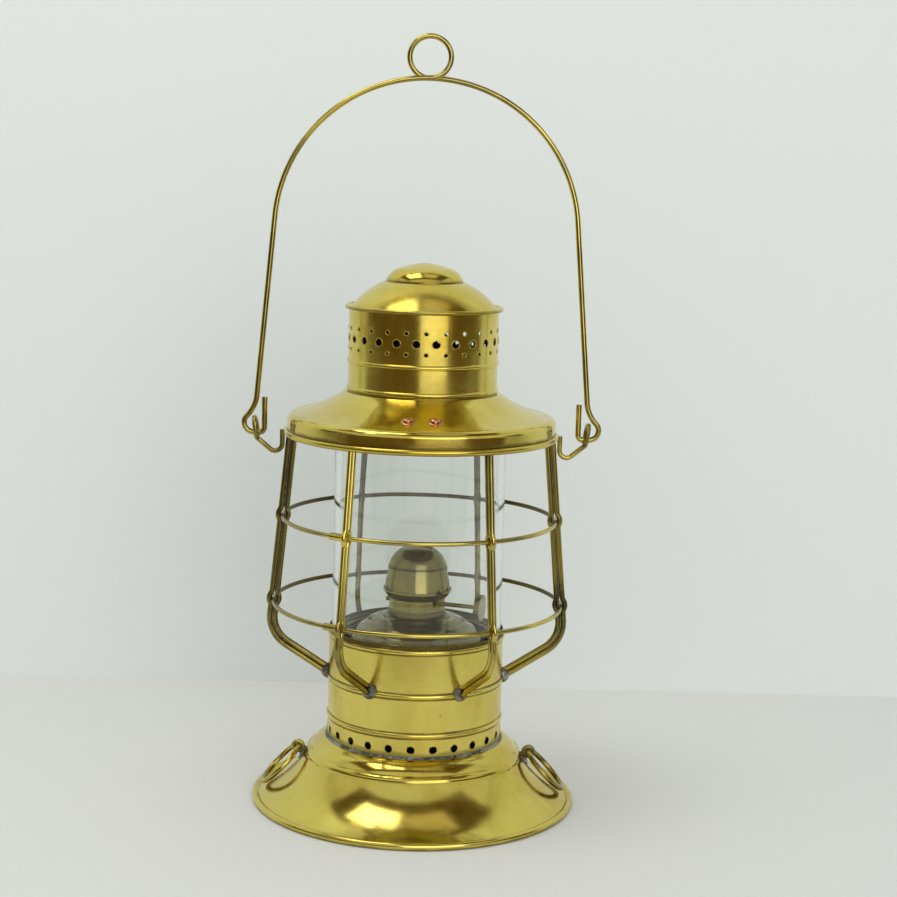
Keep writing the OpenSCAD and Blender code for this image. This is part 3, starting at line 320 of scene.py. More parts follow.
def sheet_brass(name, colours, tarnish_and_shade_bands=(), wear=0.5, gloss=0.1, black_within=0.0, wear_and_sheen=0.0):
    """Spun sheet brass: polished, with deeper clouds, tarnish and painted shade in the given height
    bands, turning marks, near black nearer to the axis than the given radius, and a share of pale
    streaks, partly wear and partly painted sheen."""
    f = Finish(name)
    clouds = f.noise(f.place, scale=17.0, detail=4.0, roughness=0.6, distortion=0.4)
    blotch = f.noise(f.place, scale=62.0, detail=5.0, roughness=0.62)
    lines = f.noise(f.spun(900.0, 3.0), scale=1.0, detail=3.0, roughness=0.6)
    dots = f.noise(f.place, scale=420.0, detail=2.0, roughness=0.5)
    specks = f.step(dots, 0.69, 0.76) * f.step(blotch, 0.45, 0.62)
    aged = f.step(clouds * 0.7 + blotch * 0.3, 0.5 - 0.22 * wear, 0.78)
    base = f.mix(aged, colour(colours.polished), colour(colours.aged))
    # Pale vertical streaks, partly wear and partly painted sheen.
    upward = f.vector(f.x, f.y, f.z * 0.45)
    streaks = f.step(f.noise(upward, scale=30.0, detail=4.0, roughness=0.6, distortion=0.3), 0.4, 0.62)
    base = f.mix(streaks * wear_and_sheen, base, colour(colours.wear_and_sheen))
    dirt_and_shade = specks * 0.5
    # Bands of tarnish and painted shade in the creases, joins and gaps at the given heights.
    for height, width, amount in tarnish_and_shade_bands:
        distance = f.z.math("ABSOLUTE", f.z - height)
        ragged = distance + (blotch - 0.5) * (1.6 * width)
        dirt_and_shade = dirt_and_shade + (1.0 - f.step(ragged, 0.15 * width, width)) * amount
    dirt_and_shade = dirt_and_shade.math("MINIMUM", dirt_and_shade, 0.9)
    base = f.mix(dirt_and_shade, base, colour(colours.grime_and_shade))
    # Near black nearer to the axis than the given radius.
    if black_within:
        black = 1.0 - f.step(f.radius, black_within - 0.05 * MM, black_within + 0.05 * MM)
        base = f.mix(black, base, colour(colours.soot))
        dirt_and_shade = dirt_and_shade + black
    smear = f.noise(f.place, scale=34.0, detail=5.0, roughness=0.66, distortion=0.9)
    rough = gloss + f.step(smear, 0.42, 0.75) * 0.1 + (lines - 0.5) * 0.08 + dirt_and_shade * 0.3
    hollows = f.noise(f.place, scale=26.0, detail=2.0, roughness=0.5)
    dents = f.bump(hollows, distance=0.5 * MM, strength=0.55)
    marks = f.bump(lines, distance=0.012 * MM, strength=0.5, under=dents)
    return f.close(base_color=base, metallic=1.0, roughness=rough, normal=marks)


def wire_brass(name, colours, tarnish=0.5, gloss=0.2, rear_tarnish_and_shade=0.0):
    """Drawn brass wire with streaks of tarnish, and darker towards the back, partly tarnish and partly
    painted shade.
    """
    f = Finish(name)
    clouds = f.noise(f.place, scale=24.0, detail=3.0, roughness=0.55, distortion=0.5)
    grain = f.noise(f.place, scale=420.0, detail=3.0, roughness=0.6)
    dark = f.step(clouds + (grain - 0.5) * 0.14, 0.72 - 0.34 * tarnish, 0.9 - 0.2 * tarnish)
    # Towards the back the wire is darker: partly tarnish, partly painted shade.
    dark = dark * (0.35 + 0.45 * tarnish) + f.step(f.y, -0.05, 0.03) * rear_tarnish_and_shade
    dark = dark.math("MINIMUM", dark, 0.92)
    dull = f.step(f.noise(f.place, scale=21.0, detail=3.0), 0.28, 0.62)
    base = f.mix(dull, colour(colours.polished), colour(colours.wire))
    base = f.mix(dark, base, colour(colours.wire_dark))
    rough = gloss + dark * 0.16 + (grain - 0.5) * 0.06
    scuffs = f.noise(f.place, scale=120.0, detail=3.0, roughness=0.5)
    draw = f.bump(scuffs, distance=0.03 * MM, strength=0.35)
    return f.close(base_color=base, metallic=1.0, roughness=rough, normal=draw)


def old_solder(name, colours):
    """Grey solder, bright on the lumps and black in the hollows."""
    f = Finish(name)
    lumps = f.noise(f.place, scale=330.0, detail=5.0, roughness=0.62, distortion=0.3)
    stain = f.noise(f.place, scale=95.0, detail=4.0, roughness=0.6)
    dark = f.step(stain * 0.6 + (1.0 - lumps) * 0.4, 0.42, 0.62)
    base = f.mix(dark, colour(colours.solder), colour(colours.solder_dark))
    rough = 0.3 + dark * 0.3
    skin = f.bump(lumps, distance=0.25 * MM, strength=0.7)
    return f.close(base_color=base, metallic=0.75, roughness=rough, normal=skin)


def copper(name, colours):
    """Hammered copper, rubbed bright on top and dark at the edge."""
    # Hammered copper with dark clouds of tarnish.
    f = Finish(name)
    clouds = f.noise(f.place, scale=260.0, detail=4.0, roughness=0.6)
    dark = f.step(clouds, 0.52, 0.7)
    base = f.mix(dark * 0.4, colour(colours.copper), colour(colours.grime_and_shade))
    rough = 0.2 + dark * 0.25
    blows = f.bump(f.noise(f.place, scale=420.0, detail=2.0), distance=0.12 * MM, strength=0.6)
    return f.close(base_color=base, metallic=1.0, roughness=rough, normal=blows)


def burner_brass(name, colours, low, high, rings=0.0, stain=0.0):
    """Dull olive brass with an even stain, more of it towards the top, and pressed rings at a pitch."""
    f = Finish(name)
    clouds = f.noise(f.place, scale=55.0, detail=4.0, roughness=0.58, distortion=0.5)
    grain = f.noise(f.place, scale=600.0, detail=3.0, roughness=0.6)
    heat = f.step(f.z + (clouds - 0.5) * (0.9 * (high - low)), low, high)
    base = f.mix(f.step(clouds, 0.4, 0.72), colour(colours.burner), colour(colours.wire))
    base = f.mix(heat * 0.3 + f.step(grain, 0.6, 0.75) * 0.1 + stain, base, colour(colours.soot))
    line = f.z.math("ABSOLUTE", f.z - (low + 0.55 * (high - low)))
    base = f.mix((1.0 - f.step(line, 0.3 * MM, 0.9 * MM)) * 0.8, base, colour(colours.soot))
    rough = 0.09 + f.step(clouds, 0.35, 0.75) * 0.12 + heat * 0.06
    hollows = f.noise(f.place, scale=70.0, detail=2.0, roughness=0.5)
    skin = f.bump(hollows, distance=0.05 * MM, strength=0.35)
    if rings:
        wave = f.radius.math("SINE", f.radius * (2 * math.pi / rings))
        skin = f.bump(wave, distance=0.3 * MM, strength=0.8, under=skin)
    return f.close(base_color=base, metallic=0.95, roughness=rough, normal=skin)


def globe_glass(name, colours):
    """Clear hand-made glass with slow waves and a few smears."""
    f = Finish(name)
    stretched = f.vector(f.x, f.y, f.z * 0.35)
    swell = f.noise(stretched, scale=32.0, detail=1.0, roughness=0.4, distortion=0.4)
    waves = f.bump(swell, distance=0.5 * MM, strength=0.35)
    smear = f.step(f.noise(f.place, scale=30.0, detail=5.0, roughness=0.7, distortion=1.0), 0.6, 0.85)
    rough = smear * 0.035
    return f.close(
        base_color=colour(colours.glass), metallic=0.0, roughness=rough, ior=1.48,
        transmission_weight=1.0, normal=waves)


def wick_cotton(name, colours, burnt_height):
    """Cotton cords, charred at the upper end."""
    f = Finish(name)
    upward = f.vector(f.x, f.y, f.z * 0.2)
    fibre = f.noise(upward, scale=3200.0, detail=4.0, roughness=0.6)
    stain = f.noise(f.place, scale=120.0, detail=3.0)
    char = f.step(f.z + (stain - 0.5) * (4 * MM), burnt_height - 3 * MM, burnt_height)
    base = f.mix(f.step(fibre, 0.3, 0.75) * 0.5, colour(colours.cotton), colour(colours.aged))
    base = f.mix(char, base, colour(colours.soot))
    fuzz = f.bump(fibre, distance=0.1 * MM, strength=0.6)
    return f.close(base_color=base, metallic=0.0, roughness=0.9 - stain * 0.1, normal=fuzz)


# Meshes


def dress(names, material):
    """Gives CAD nodes one finish."""
    for name in names:
        slots = NODES[name].data.materials
        slots.clear()
        slots.append(material)


def place_piece(name, mesh, material, body, slot, *replaced):
    """Adds a finished mesh as a piece that rides on a body and may stand for CAD nodes."""
    piece = bpy.data.objects.new(name, mesh)
    bpy.context.scene.collection.objects.link(piece)
    mesh.materials.clear()
    mesh.materials.append(material)
    mesh.shade_smooth()
    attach(piece, body)
    if replaced:
        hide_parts(*replaced)


def merged(node):
    """A CAD node's triangles as one joined-up bmesh."""
    bm = bmesh.new()
    bm.from_mesh(NODES[node].data)
    bmesh.ops.remove_doubles(bm, verts=bm.verts, dist=SAME_POINT)
    return bm


def solids(node):
    """Points of each separate solid of a CAD node."""
    bm = merged(node)
    bm.verts.ensure_lookup_table()
    seen = set()
    found = []
    for start in bm.verts:
        if start.index in seen:
            continue
        seen.add(start.index)
        island = [start]
        for vert in island:
            for edge in vert.link_edges:
                other = edge.other_vert(vert)
                if other.index not in seen:
                    seen.add(other.index)
                    island.append(other)
        found.append([v.co.copy() for v in island])
    bm.free()
    return found


def evaluated(source, name):
    """The object's mesh with its modifiers applied, as new data; the object is removed."""
    graph = bpy.context.evaluated_depsgraph_get()
    mesh = bpy.data.meshes.new_from_object(source.evaluated_get(graph), depsgraph=graph)
    mesh.name = name
    bpy.data.objects.remove(source)
    return mesh


def lumpy(node, voxel, lump, scale, seed):
    """A CAD node's shape in fine even faces, with lumps pushed out of it."""
    bm = merged(node)
    mesh = bpy.data.meshes.new(node)
    bm.to_mesh(mesh)
    bm.free()
    source = bpy.data.objects.new(node + "_source", mesh)
    bpy.context.scene.collection.objects.link(source)
    remesh = source.modifiers.new("even faces", "REMESH")
    remesh.mode = "VOXEL"
    remesh.voxel_size = voxel
    made = evaluated(source, node + "_lumps")
    shift = Vector((seed, 2 * seed, 3 * seed))
    normals = [v.normal.copy() for v in made.vertices]
    for vert, normal in zip(made.vertices, normals):
        slow = noise.noise(vert.co * scale + shift)
        quick = noise.noise(vert.co * (3.1 * scale) - shift)
        vert.co += normal * lump * (0.75 * slow + 0.25 * quick)
    return made


def lathe(name, outline, segments):
    """Closed outline of (radius, height) turned round the axis."""
    bm = bmesh.new()
    rings = []
    for i in range(segments):
        angle = 2 * math.pi * i / segments
        spin = Matrix.Rotation(angle, 3, "Z")
        rings.append([bm.verts.new(spin @ Vector((r, 0, z))) for r, z in outline])
    for i in range(segments):
        here, there = rings[i], rings[(i + 1) % segments]
        for k in range(len(outline)):
            n = (k + 1) % len(outline)
            bm.faces.new((here[k], there[k], there[n], here[n]))
    bmesh.ops.recalc_face_normals(bm, faces=bm.faces)
    mesh = bpy.data.meshes.new(name)
    bm.to_mesh(mesh)
    bm.free()
    return mesh


class Recipe(Plan):
    """A geometry node tree with named inputs."""

    KINDS = {
        "length": "NodeSocketFloat",
        "count": "NodeSocketInt",
        "material": "NodeSocketMaterial",
        "geometry": "NodeSocketGeometry",
    }

    def __init__(self, name, **kinds):
        super().__init__(bpy.data.node_groups.new(name, "GeometryNodeTree"))
        self.tree.interface.new_socket("Geometry", in_out="OUTPUT", socket_type=self.KINDS["geometry"])
        self.keys = {}
        for label, kind in kinds.items():
            socket = self.tree.interface.new_socket(label, in_out="INPUT", socket_type=self.KINDS[kind])
            self.keys[label] = socket.identifier
        entry = self.tree.nodes.new("NodeGroupInput")
        self.given = {label: Signal(self, entry.outputs[label]) for label in kinds}

    def circle(self, points, radius):
        inputs = {"Resolution": points, "Radius": radius}
        return self.node("GeometryNodeCurvePrimitiveCircle", {}, inputs)

    def close(self, geometry):
        """Realizes the instances, sets the material and ends the tree."""
        real = self.node("GeometryNodeRealizeInstances", {}, {"Geometry": geometry})
        coat = {"Geometry": real, "Material": self.given["material"]}
        painted = self.node("GeometryNodeSetMaterial", {}, coat)
        self.node("NodeGroupOutput", {}, {0: painted})
        return self

    def make(self, name, base=None, **values):
        """Plain mesh that the tree gives for these inputs, on a base mesh where it needs one."""
        source = bpy.data.objects.new(name + "_source", base or bpy.data.meshes.new(name + "_base"))
        bpy.context.scene.collection.objects.link(source)
        modifier = source.modifiers.new(name, "NODES")
        modifier.node_group = self.tree
        for label, value in values.items():
            modifier[self.keys[label]] = value
        return evaluated(source, name)


def rim_recipe():
    """Burrs round a row of punched holes in a round wall."""
    r = Recipe(
        "punched hole rims", holes="count", wall="length", height="length", turn="length",
        width="length", wire="length", material="material")
    loop = r.circle(points=20, radius=r.given["width"] * 0.5)
    wire = r.circle(points=8, radius=r.given["wire"] * 0.5)
    rim = r.node("GeometryNodeCurveToMesh", {}, {"Curve": loop, "Profile Curve": wire})
    row = r.node("GeometryNodeMeshCircle", {}, {"Vertices": r.given["holes"], "Radius": r.given["wall"]})
    outward = r.node("GeometryNodeInputPosition")
    facing = r.node("FunctionNodeAlignRotationToVector", {"axis": "Z"}, {"Vector": outward})
    rims = {"Points": row, "Instance": rim, "Rotation": facing}
    many = r.node("GeometryNodeInstanceOnPoints", {}, rims)
    lift = r.vector(0.0, 0.0, r.given["height"])
    spin = r.vector(0.0, 0.0, r.given["turn"])
    moved = {"Geometry": many, "Translation": lift, "Rotation": spin}
    return r.close(r.node("GeometryNodeTransform", {}, moved))


def rivet_recipe():
    """Domed rivet heads, each on its washer, at the points of a mesh that carry a facing direction."""
    r = Recipe(
        "rivets", base="geometry", head="length", dome="length", washer="length", thickness="length",
        material="material")
    half = r.given["head"] * 0.5
    ball = r.node("GeometryNodeMeshUVSphere", {}, {"Segments": 28, "Rings": 14, "Radius": half})
    squash = r.vector(1.0, 1.0, r.given["dome"] / half)
    head = r.node(
        "GeometryNodeTransform", {},
        {"Geometry": ball, "Scale": squash, "Translation": r.vector(0.0, 0.0, r.given["thickness"])})
    path = r.circle(points=40, radius=r.given["washer"] * WASHER_MIDDLE)
    section = r.circle(points=10, radius=r.given["washer"] * WASHER_SECTION)
    ring = r.node("GeometryNodeCurveToMesh", {}, {"Curve": path, "Profile Curve": section})
    flat = r.vector(1.0, 1.0, r.given["thickness"] / (r.given["washer"] * (2 * WASHER_SECTION)))
    washer = r.node(
        "GeometryNodeTransform", {},
        {"Geometry": ring, "Scale": flat, "Translation": r.vector(0.0, 0.0, r.given["thickness"] * 0.5)})
    both = r.tree.nodes.new("GeometryNodeJoinGeometry")
    for part in (washer, head):
        r.tree.links.new(part.socket, both.inputs[0])
    facing = r.node("GeometryNodeInputNamedAttribute", {"data_type": "FLOAT_VECTOR"}, {"Name": "facing"})
    turned = r.node("FunctionNodeAlignRotationToVector", {"axis": "Z"}, {"Vector": facing})
    points = r.node("GeometryNodeMeshToPoints", {}, {"Mesh": r.given["base"]})
    many = r.node(
        "GeometryNodeInstanceOnPoints", {},
        {"Points": points, "Instance": Signal(r, both.outputs[0]), "Rotation": turned})
    return r.close(many)


def soften(names, angle):
    """Lets the light run on over the narrow cones of a swept sheet that meet at less than the angle."""
    r = Recipe("even sweeps", base="geometry")
    merge = {"Geometry": r.given["base"], "Distance": SAME_POINT}
    whole = r.node("GeometryNodeMergeByDistance", {}, merge)
    plain = r.node("GeometryNodeRemoveAttribute", {}, {"Geometry": whole, "Name": "custom_normal"})
    smooth = "GeometryNodeSetShadeSmooth"
    faces = r.node(smooth, {"domain": "FACE"}, {"Geometry": plain, "Shade Smooth": True})
    bend = r.node("GeometryNodeInputMeshEdgeAngle")
    flat = bend.math("LESS_THAN", bend, angle)
    edges = r.node(smooth, {"domain": "EDGE"}, {"Geometry": faces, "Shade Smooth": flat})
    r.node("NodeGroupOutput", {}, {0: edges})
    for name in names:
        NODES[name].modifiers.new("even sweeps", "NODES").node_group = r.tree


def cord_recipe():
    """Cords side by side, each one pinched along its length like a plait."""
    r = Recipe(
        "wick cords", cords="count", pitch="length", depth="length", tall="length", plait="length",
        material="material")
    up = r.vector(0.0, 0.0, r.given["tall"])
    line = r.node("GeometryNodeCurvePrimitiveLine", {}, {"End": up})
    fine = r.node("GeometryNodeResampleCurve", {}, {"Curve": line, "Count": CORD_POINTS})
    place = r.node("GeometryNodeInputPosition")
    split = r.tree.nodes.new("ShaderNodeSeparateXYZ")
    r.tree.links.new(place.socket, split.inputs[0])
    height = Signal(r, split.outputs[2])
    wave = height.math("SINE", height * (2 * math.pi) / r.given["plait"])
    ring = r.circle(points=8, radius=r.given["pitch"] * CORD_RADIUS)
    pinch = wave * CORD_PINCH + 1.0
    plaited = {"Curve": fine, "Profile Curve": ring, "Scale": pinch, "Fill Caps": True}
    cord = r.node("GeometryNodeCurveToMesh", {}, plaited)
    start = r.vector(r.given["pitch"] * 0.5 - r.given["pitch"] * r.given["cords"] * 0.5, 0.0, 0.0)
    step = r.vector(r.given["pitch"], 0.0, 0.0)
    row = r.node(
        "GeometryNodeMeshLine", {"mode": "OFFSET"},
        {"Count": r.given["cords"], "Start Location": start, "Offset": step})
    many = r.node("GeometryNodeInstanceOnPoints", {}, {"Points": row, "Instance": cord})
    deep = r.vector(1.0, r.given["depth"] / r.given["pitch"], 1.0)
    thick = r.node("GeometryNodeTransform", {}, {"Geometry": many, "Scale": deep})
    return r.close(thick)


def joined(name, meshes):
    """Several meshes as one."""
    bm = bmesh.new()
    for mesh in meshes:
        bm.from_mesh(mesh)
    whole = bpy.data.meshes.new(name)
    bm.to_mesh(whole)
    bm.free()
    return whole


# Operators


def settings():
    return bpy.context.scene.lamp


class LAMP_OT_sheet(bpy.types.Operator):
    """Finish the skirt, body, hood and chimney in spun sheet brass"""

    bl_idname = "lamp.sheet"
    bl_label = "Sheet Brass"

    def execute(self, context):
        colours = settings().colours
        sizes = settings().sizes
        soften(SHEET_GLOSS, SWEEP_ANGLE)
        for name, gloss in SHEET_GLOSS.items():
            low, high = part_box(name)
            # The body gets pale streaks, partly wear and partly painted sheen.
            wear, wear_and_sheen = (0.45, 0.4) if name == "lower_body" else (0.5, 0.0)
            # Bands of tarnish and painted shade at edges, joins and creases: height, width, amount
            bands = [(low.z, 2.5 * MM, 0.55)]
            if name == "lower_body":
                # Under the upper edge and beside each bead the bands are painted shade, in the gap at the
                # globe and in the creases, partly tarnish.
                bands = [(low.z + 7 * MM, 3 * MM, 0.5), (high.z - 0.6 * MM, 3 * MM, 0.9)]
                for bead in (low.z + sizes.bead_low, low.z + sizes.bead_high, high.z - sizes.bead_top):
                    for side in (-sizes.bead_half, sizes.bead_half):
                        bands.append((bead + side, 0.7 * MM, 0.75))
            if name == "hood":
                bands = [(low.z, 2.2 * MM, 0.7)]
            black_within = 0.0
            if name == "chimney_drum":
                # Inside the drum's wall, behind the beads, the sheet is made near black.
                black_within = high.x - sizes.bead_proud - 0.4 * MM
            dress([name], sheet_brass(name + "_brass", colours, bands, wear, gloss, black_within, wear_and_sheen))
        for name in TRIM_NODES:
            low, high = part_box(name)
            bands = [(low.z, 1.5 * MM, 0.5)]
            if name == "globe_seat":
                # The whole seat is painted dark: painted shade in the gap under the globe.
                bands = [((low.z + high.z) / 2, high.z - low.z, 0.85)]
            dress([name], sheet_brass(name + "_brass", colours, bands, wear=1.0, gloss=0.2))
        return {"FINISHED"}


class LAMP_OT_guard(bpy.types.Operator):
    """Finish the guard's doubled wires, its rings and their sleeves"""

    bl_idname = "lamp.guard"
    bl_label = "Guard Wires"

    def execute(self, context):
        colours = settings().colours
        # The wires at the back are darker: partly tarnish, partly painted shade.
        dress(GUARD_NODES, wire_brass("guard_wire", colours, tarnish=0.75, gloss=0.17, rear_tarnish_and_shade=0.55))
        dress(RING_NODES, wire_brass("guard_ring_wire", colours, tarnish=0.35, gloss=0.17, rear_tarnish_and_shade=0.9))
        return {"FINISHED"}


class LAMP_OT_bail(bpy.types.Operator):
    """Finish the bail, its ears and the lashing rings"""

    bl_idname = "lamp.bail"
    bl_label = "Bail and Rings"

    def execute(self, context):
        colours = settings().colours
        dress(BAIL_NODES, wire_brass("bail_wire", colours, tarnish=0.3, gloss=0.17))
        dress(EAR_NODES, wire_brass("ear_wire", colours, tarnish=0.9, gloss=0.26))
        dress(LASHING_NODES, wire_brass("lashing_wire", colours, tarnish=0.15, gloss=0.16))
        return {"FINISHED"}


class LAMP_OT_solder(bpy.types.Operator):
    """Make the lumpy solder at the neck, the guard's feet and the staples"""

    bl_idname = "lamp.solder"
    bl_label = "Solder"

    def execute(self, context):
        lump = settings().sizes.solder_lump
        finish = old_solder("old_solder", settings().colours)
        pieces = [("base_solder_seam", 0.25), ("guard_solder", 1.0), ("staple_solder", 1.0)]
        for seed, (node, share) in enumerate(pieces, start=1):
            mesh = lumpy(node, voxel=0.35 * MM, lump=share * lump, scale=260.0, seed=seed)
            place_piece(node + "_lumps", mesh, finish, "frame", "solder", node)
        return {"FINISHED"}


class LAMP_OT_rivets(bpy.types.Operator):
    """Make the copper rivets on the hood, each with its washer"""

    bl_idname = "lamp.rivets"
    bl_label = "Hood Rivets"

    def execute(self, context):
        sizes = settings().sizes
        finish = copper("hammered_copper", settings().colours)
        washers = solids("rivet_washers")
        points = []
        facings = []
        for washer in washers:
            centre = sum(washer, Vector()) / len(washer)
            outward = Vector((centre.x, centre.y, 0)).normalized()
            across = Vector((0, 0, 1)).cross(outward)
            flat = [p - centre for p in washer]
            steep = max(flat, key=lambda p: p.z)
            downhill = (steep - across * steep.dot(across)).normalized()
            facing = downhill.cross(across)
            if facing.z < 0:
                facing = -facing
            half = max(p.dot(facing) for p in flat)
            points.append(centre - facing * half)
            facings.append(facing)
        base = bpy.data.meshes.new("rivet_points")
        base.from_pydata(points, [], [])
        attribute = base.attributes.new("facing", "FLOAT_VECTOR", "POINT")
        attribute.data.foreach_set("vector", [value for facing in facings for value in facing])
        mesh = rivet_recipe().make(
            "copper_rivets", base, head=sizes.rivet_head, dome=sizes.rivet_dome,
            washer=sizes.washer_width, thickness=sizes.washer_thick, material=finish)
        place_piece("copper_rivets", mesh, finish, "hood", "copper", "rivet_washers")
        dress(["hood_rivets"], finish)
        return {"FINISHED"}


class LAMP_OT_rims(bpy.types.Operator):
    """Make the bright burrs round the punched holes of body and drum"""

    bl_idname = "lamp.rims"
    bl_label = "Hole Rims"

    def execute(self, context):
        sizes = settings().sizes
        finish = sheet_brass("rubbed_rims", settings().colours, wear=0.0, gloss=0.2)
        recipe = rim_recipe()
        low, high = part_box("lower_body")
        wall = high.x - sizes.bead_proud
        body_row = recipe.make(
            "vent_rims", holes=sizes.vent_holes, wall=wall, height=low.z + sizes.vent_rise,
            turn=sizes.vent_turn, width=sizes.vent_width, wire=sizes.rim_wire, material=finish)
        place_piece("vent_rims", body_row, finish, "frame", "sheet_brass")
        low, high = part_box("chimney_drum")
        wall = high.x - sizes.bead_proud
        half_step = math.pi / sizes.drum_holes
        rows = [
            (0.0, sizes.drum_turn, sizes.drum_hole),
            (sizes.drum_row_gap, sizes.drum_turn + half_step, sizes.drum_small_hole),
            (-sizes.drum_row_gap, sizes.drum_turn + half_step, sizes.drum_small_hole),
        ]
        meshes = [
            recipe.make(
                f"drum_rims_{i}", holes=sizes.drum_holes, wall=wall,
                height=low.z + sizes.drum_row + rise, turn=angle, width=width, wire=sizes.rim_wire,
                material=finish)
            for i, (rise, angle, width) in enumerate(rows)
        ]
        place_piece("drum_rims", joined("drum_rims", meshes), finish, "hood", "sheet_brass")
        return {"FINISHED"}


class LAMP_OT_globe(bpy.types.Operator):
    """Make the thick, slightly wavy glass globe"""

    bl_idname = "lamp.globe"
    bl_label = "Glass Globe"

    def execute(self, context):
        sizes = settings().sizes
        wave = sizes.globe_wave
        low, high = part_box("globe")
        outer = high.x
        inner = outer - sizes.globe_wall
        foot = low.z
        lip = (outer - inner) / 2
        outline = [(inner, foot), (outer, foot)]
        for i in range(1, GLOBE_ROWS + 1):
            outline.append((outer, foot + (high.z - lip - foot) * i / GLOBE_ROWS))
        for i in range(1, LIP_STEPS):
            angle = math.pi * i / LIP_STEPS
            outline.append((outer - lip + lip * math.cos(angle), high.z - lip + lip * math.sin(angle)))
        for i in range(GLOBE_ROWS, 0, -1):
            outline.append((inner, foot + (high.z - lip - foot) * i / GLOBE_ROWS))
        mesh = lathe("wavy_globe", outline, GLOBE_SEGMENTS)
        for vert in mesh.vertices:
            radius = math.hypot(vert.co.x, vert.co.y)
            shift = 0.0 if radius > outer - lip else INNER_SHIFT
            across = vert.co.x * WAVES_ACROSS, vert.co.y * WAVES_ACROSS
            swell = noise.noise(Vector((*across, vert.co.z * WAVES_ALONG + shift)))
            scale = 1 + wave * (swell - 1) / 2 / radius
            vert.co.x *= scale
            vert.co.y *= scale
        finish = globe_glass("globe_glass", settings().colours)
        place_piece("wavy_globe", mesh, finish, "frame", "globe_glass", "globe")
        return {"FINISHED"}


class LAMP_OT_burner(bpy.types.Operator):
    """Finish the fount and the burner, and make the wick's cords"""

    bl_idname = "lamp.burner"
    bl_label = "Fount and Burner"

    def execute(self, context):
        colours = settings().colours
        sizes = settings().sizes
        low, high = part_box("burner_dome")
        above = 2 * high.z - low.z
        dress(FOUNT_NODES, burner_brass("fount_brass", colours, high.z, above, stain=0.4))
        ringed = burner_brass("fount_top_brass", colours, high.z, above, sizes.fount_rings, stain=0.4)
        dress(["fount_top"], ringed)
        dress(BURNER_NODES, burner_brass("burner_brass", colours, low.z, high.z))
        corners = solids("wick")[0]
        top = max(p.z for p in corners)
        foot = min(p.z for p in corners)
        ends = sorted((p for p in corners if p.z > top - MM), key=lambda p: p.x)
        near = min(ends, key=lambda p: p.y)
        far = max(ends, key=lambda p: p.y)
        edge = max(ends, key=lambda p: min((p - near).length, (far - p).length))
        depth = min((edge - near).length, (far - edge).length)
        side = max((edge - near, far - edge), key=lambda v: v.length)
        wide = side.length
        heading = math.atan2(side.y, side.x)
        finish = wick_cotton("wick_cotton", colours, top)
        mesh = cord_recipe().make(
            "wick_cords", cords=sizes.wick_cords, pitch=wide / sizes.wick_cords, depth=depth,
            tall=top - foot, plait=sizes.wick_plait, material=finish)
        mesh.transform(Matrix.Translation((0, 0, foot)) @ Matrix.Rotation(heading, 4, "Z"))
        place_piece("wick_cords", mesh, finish, "wick", "wick_cotton", "wick")
        return {"FINISHED"}


def level(left, right, front, back, height):
    """Corners of a level panel."""
    return [(left, front, height), (right, front, height), (right, back, height), (left, back, height)]


def upright(start, end, height):
    """Corners of an upright panel on the floor."""
    return [(*start, 0), (*end, 0), (*end, height), (*start, height)]


def panel(name, corners, material):
    """Flat stage panel of four corners."""
    mesh = bpy.data.meshes.new(name)
    mesh.from_pydata(corners, [], [(0, 1, 2, 3)])
    mesh.materials.append(material)
    made = bpy.data.objects.new(name, mesh)
    bpy.context.scene.collection.objects.link(made)
    return made


def plaster(name, rgb, speck):
    """Pale matt stage surface with faint specks."""
    f = Finish(name)
    grain = f.noise(f.place, scale=260.0, detail=4.0, roughness=0.7)
    slow = f.noise(f.place, scale=3.0, detail=3.0)
    dark = tuple(0.86 * c for c in rgb)
    base = f.mix(f.step(grain, 0.56, 0.74) * speck + (slow - 0.5) * 0.25, colour(rgb), colour(dark))
    skin = f.bump(grain, distance=0.2 * MM, strength=0.3)
    return f.close(base_color=base, roughness=0.85, normal=skin)


def felt(name, rgb):
    """Dark matt felt for the cards."""
    f = Finish(name)
    shade = tuple(0.45 * c for c in rgb)
    cloth = f.step(f.noise(f.place, scale=3.0, detail=4.0), 0.3, 0.7)
    return f.close(base_color=f.mix(cloth, colour(rgb), colour(shade)), roughness=1.0)


def mirror_card(name, corners, material):
    """Stage panel that only the metal's reflections show."""
    card = panel(name, corners, material)
    card.visible_camera = False
    card.visible_diffuse = False
    card.visible_transmission = False
    card.visible_shadow = False


def one_sided(material):
    """Makes a stage surface clear from behind, so that it never hides the lamp."""
    plan = Plan(material.node_tree)
    output = next(n for n in plan.tree.nodes if n.type == "OUTPUT_MATERIAL")
    shader = next(n for n in plan.tree.nodes if n.type == "BSDF_PRINCIPLED")
    behind = plan.node("ShaderNodeNewGeometry", {}, {}, out="Backfacing")
    clear = plan.node("ShaderNodeBsdfTransparent", {}, {})
    seen = Signal(plan, shader.outputs[0])
    both = plan.node("ShaderNodeMixShader", {}, {0: behind, 1: seen, 2: clear})
    plan.tree.links.new(both.socket, output.inputs["Surface"])


def soft_light(name, place, target, width, height, watts, rgb):
    data = bpy.data.lights.new(name, "AREA")
    data.shape = "RECTANGLE"
    data.size = width
    data.size_y = height
    data.energy = watts
    data.color = rgb
    light = bpy.data.objects.new(name, data)
    light.location = place
    light.rotation_euler = (Vector(target) - Vector(place)).to_track_quat("-Z", "Y").to_euler()
    bpy.context.scene.collection.objects.link(light)


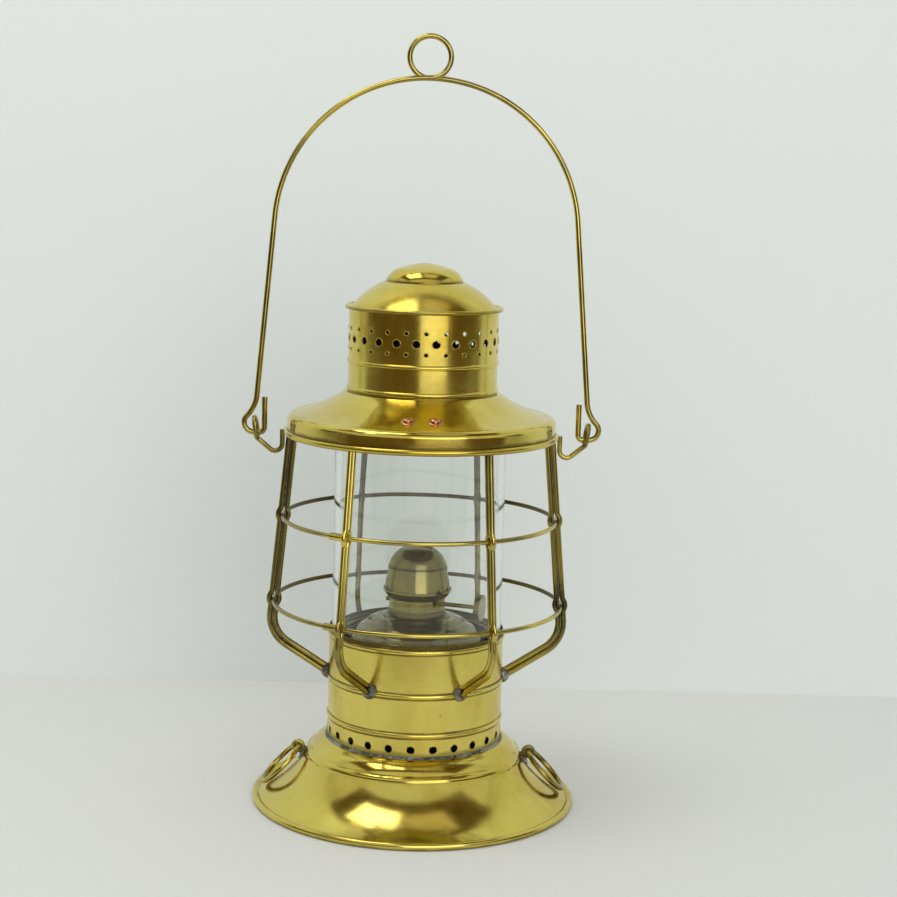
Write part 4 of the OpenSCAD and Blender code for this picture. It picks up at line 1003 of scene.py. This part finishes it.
class LAMP_OT_stage(bpy.types.Operator):
    """Set the floor, backdrop, soft lights, dark cards and camera"""

    bl_idname = "lamp.stage"
    bl_label = "Stage"

    def execute(self, context):
        stage = settings().stage
        back = stage.wall_back
        floor = plaster("floor_plaster", tuple(stage.floor), 0.5)
        wall = plaster("wall_plaster", tuple(stage.wall), 0.12)
        one_sided(wall)
        panel("floor", level(-REACH, REACH, -REACH, REACH, 0), floor)
        panel("backdrop", upright((-REACH, back), (REACH, back), REACH), wall)
        room = felt("room_felt", tuple(stage.card))
        ceiling = felt("ceiling_felt", tuple(stage.ceiling))
        for name, start, end in CARDS:
            mirror_card(name, upright(start, end, CARD_HEIGHT), room)
        overhead = level(CEILING_LEFT, CEILING_RIGHT, CEILING_FRONT, back, CEILING_HEIGHT)
        mirror_card("card_ceiling", overhead, ceiling)
        beyond = level(-REACH, REACH, -REACH, -stage.table_front, ROOM_FLOOR_RISE)
        mirror_card("card_room_floor", beyond, room)
        for light in LIGHTS:
            soft_light(*light)
        world = bpy.data.worlds.new("studio")
        world.use_nodes = True
        world.node_tree.nodes["Background"].inputs["Color"].default_value = colour(stage.surround)
        bpy.context.scene.world = world
        data = bpy.data.cameras.new("camera")
        data.sensor_width = SENSOR
        data.lens = SENSOR * stage.focal_pixels / IMAGE_SIDE
        data.shift_x = (IMAGE_SIDE / 2 - stage.axis_pixel) / IMAGE_SIDE
        camera = bpy.data.objects.new("camera", data)
        camera.matrix_world = (
            Matrix.Translation((0, -stage.eye_back, stage.eye_height))
            @ Matrix.Rotation(math.pi / 2 - stage.eye_pitch, 4, "X")
            @ Matrix.Rotation(stage.eye_roll, 4, "Z")
        )
        bpy.context.scene.collection.objects.link(camera)
        bpy.context.scene.camera = camera
        bpy.context.scene.view_settings.view_transform = "Standard"
        return {"FINISHED"}


OPERATORS = [
    LAMP_OT_stage, LAMP_OT_sheet, LAMP_OT_guard, LAMP_OT_bail, LAMP_OT_solder, LAMP_OT_rivets,
    LAMP_OT_rims, LAMP_OT_globe, LAMP_OT_burner,
]


class LAMP_PT_panel(bpy.types.Panel):
    """Lists the lamp's operators"""

    bl_idname = "LAMP_PT_panel"
    bl_label = "Ship Oil Lamp"
    bl_space_type = "VIEW_3D"
    bl_region_type = "UI"
    bl_category = "Lamp"

    def draw(self, context):
        for operator in OPERATORS:
            self.layout.operator(operator.bl_idname)


CLASSES = [LampColours, LampSizes, LampStage, LampSettings, *OPERATORS, LAMP_PT_panel]


def register():
    for cls in CLASSES:
        bpy.utils.register_class(cls)
    bpy.types.Scene.lamp = PointerProperty(type=LampSettings)


def unregister():
    del bpy.types.Scene.lamp
    for cls in reversed(CLASSES):
        bpy.utils.unregister_class(cls)


def main():
    register()
    bpy.ops.lamp.stage()
    bpy.ops.lamp.sheet()
    bpy.ops.lamp.guard()
    bpy.ops.lamp.bail()
    bpy.ops.lamp.solder()
    bpy.ops.lamp.rivets()
    bpy.ops.lamp.rims()
    bpy.ops.lamp.globe()
    bpy.ops.lamp.burner()


if __name__ == "__main__":
    main()
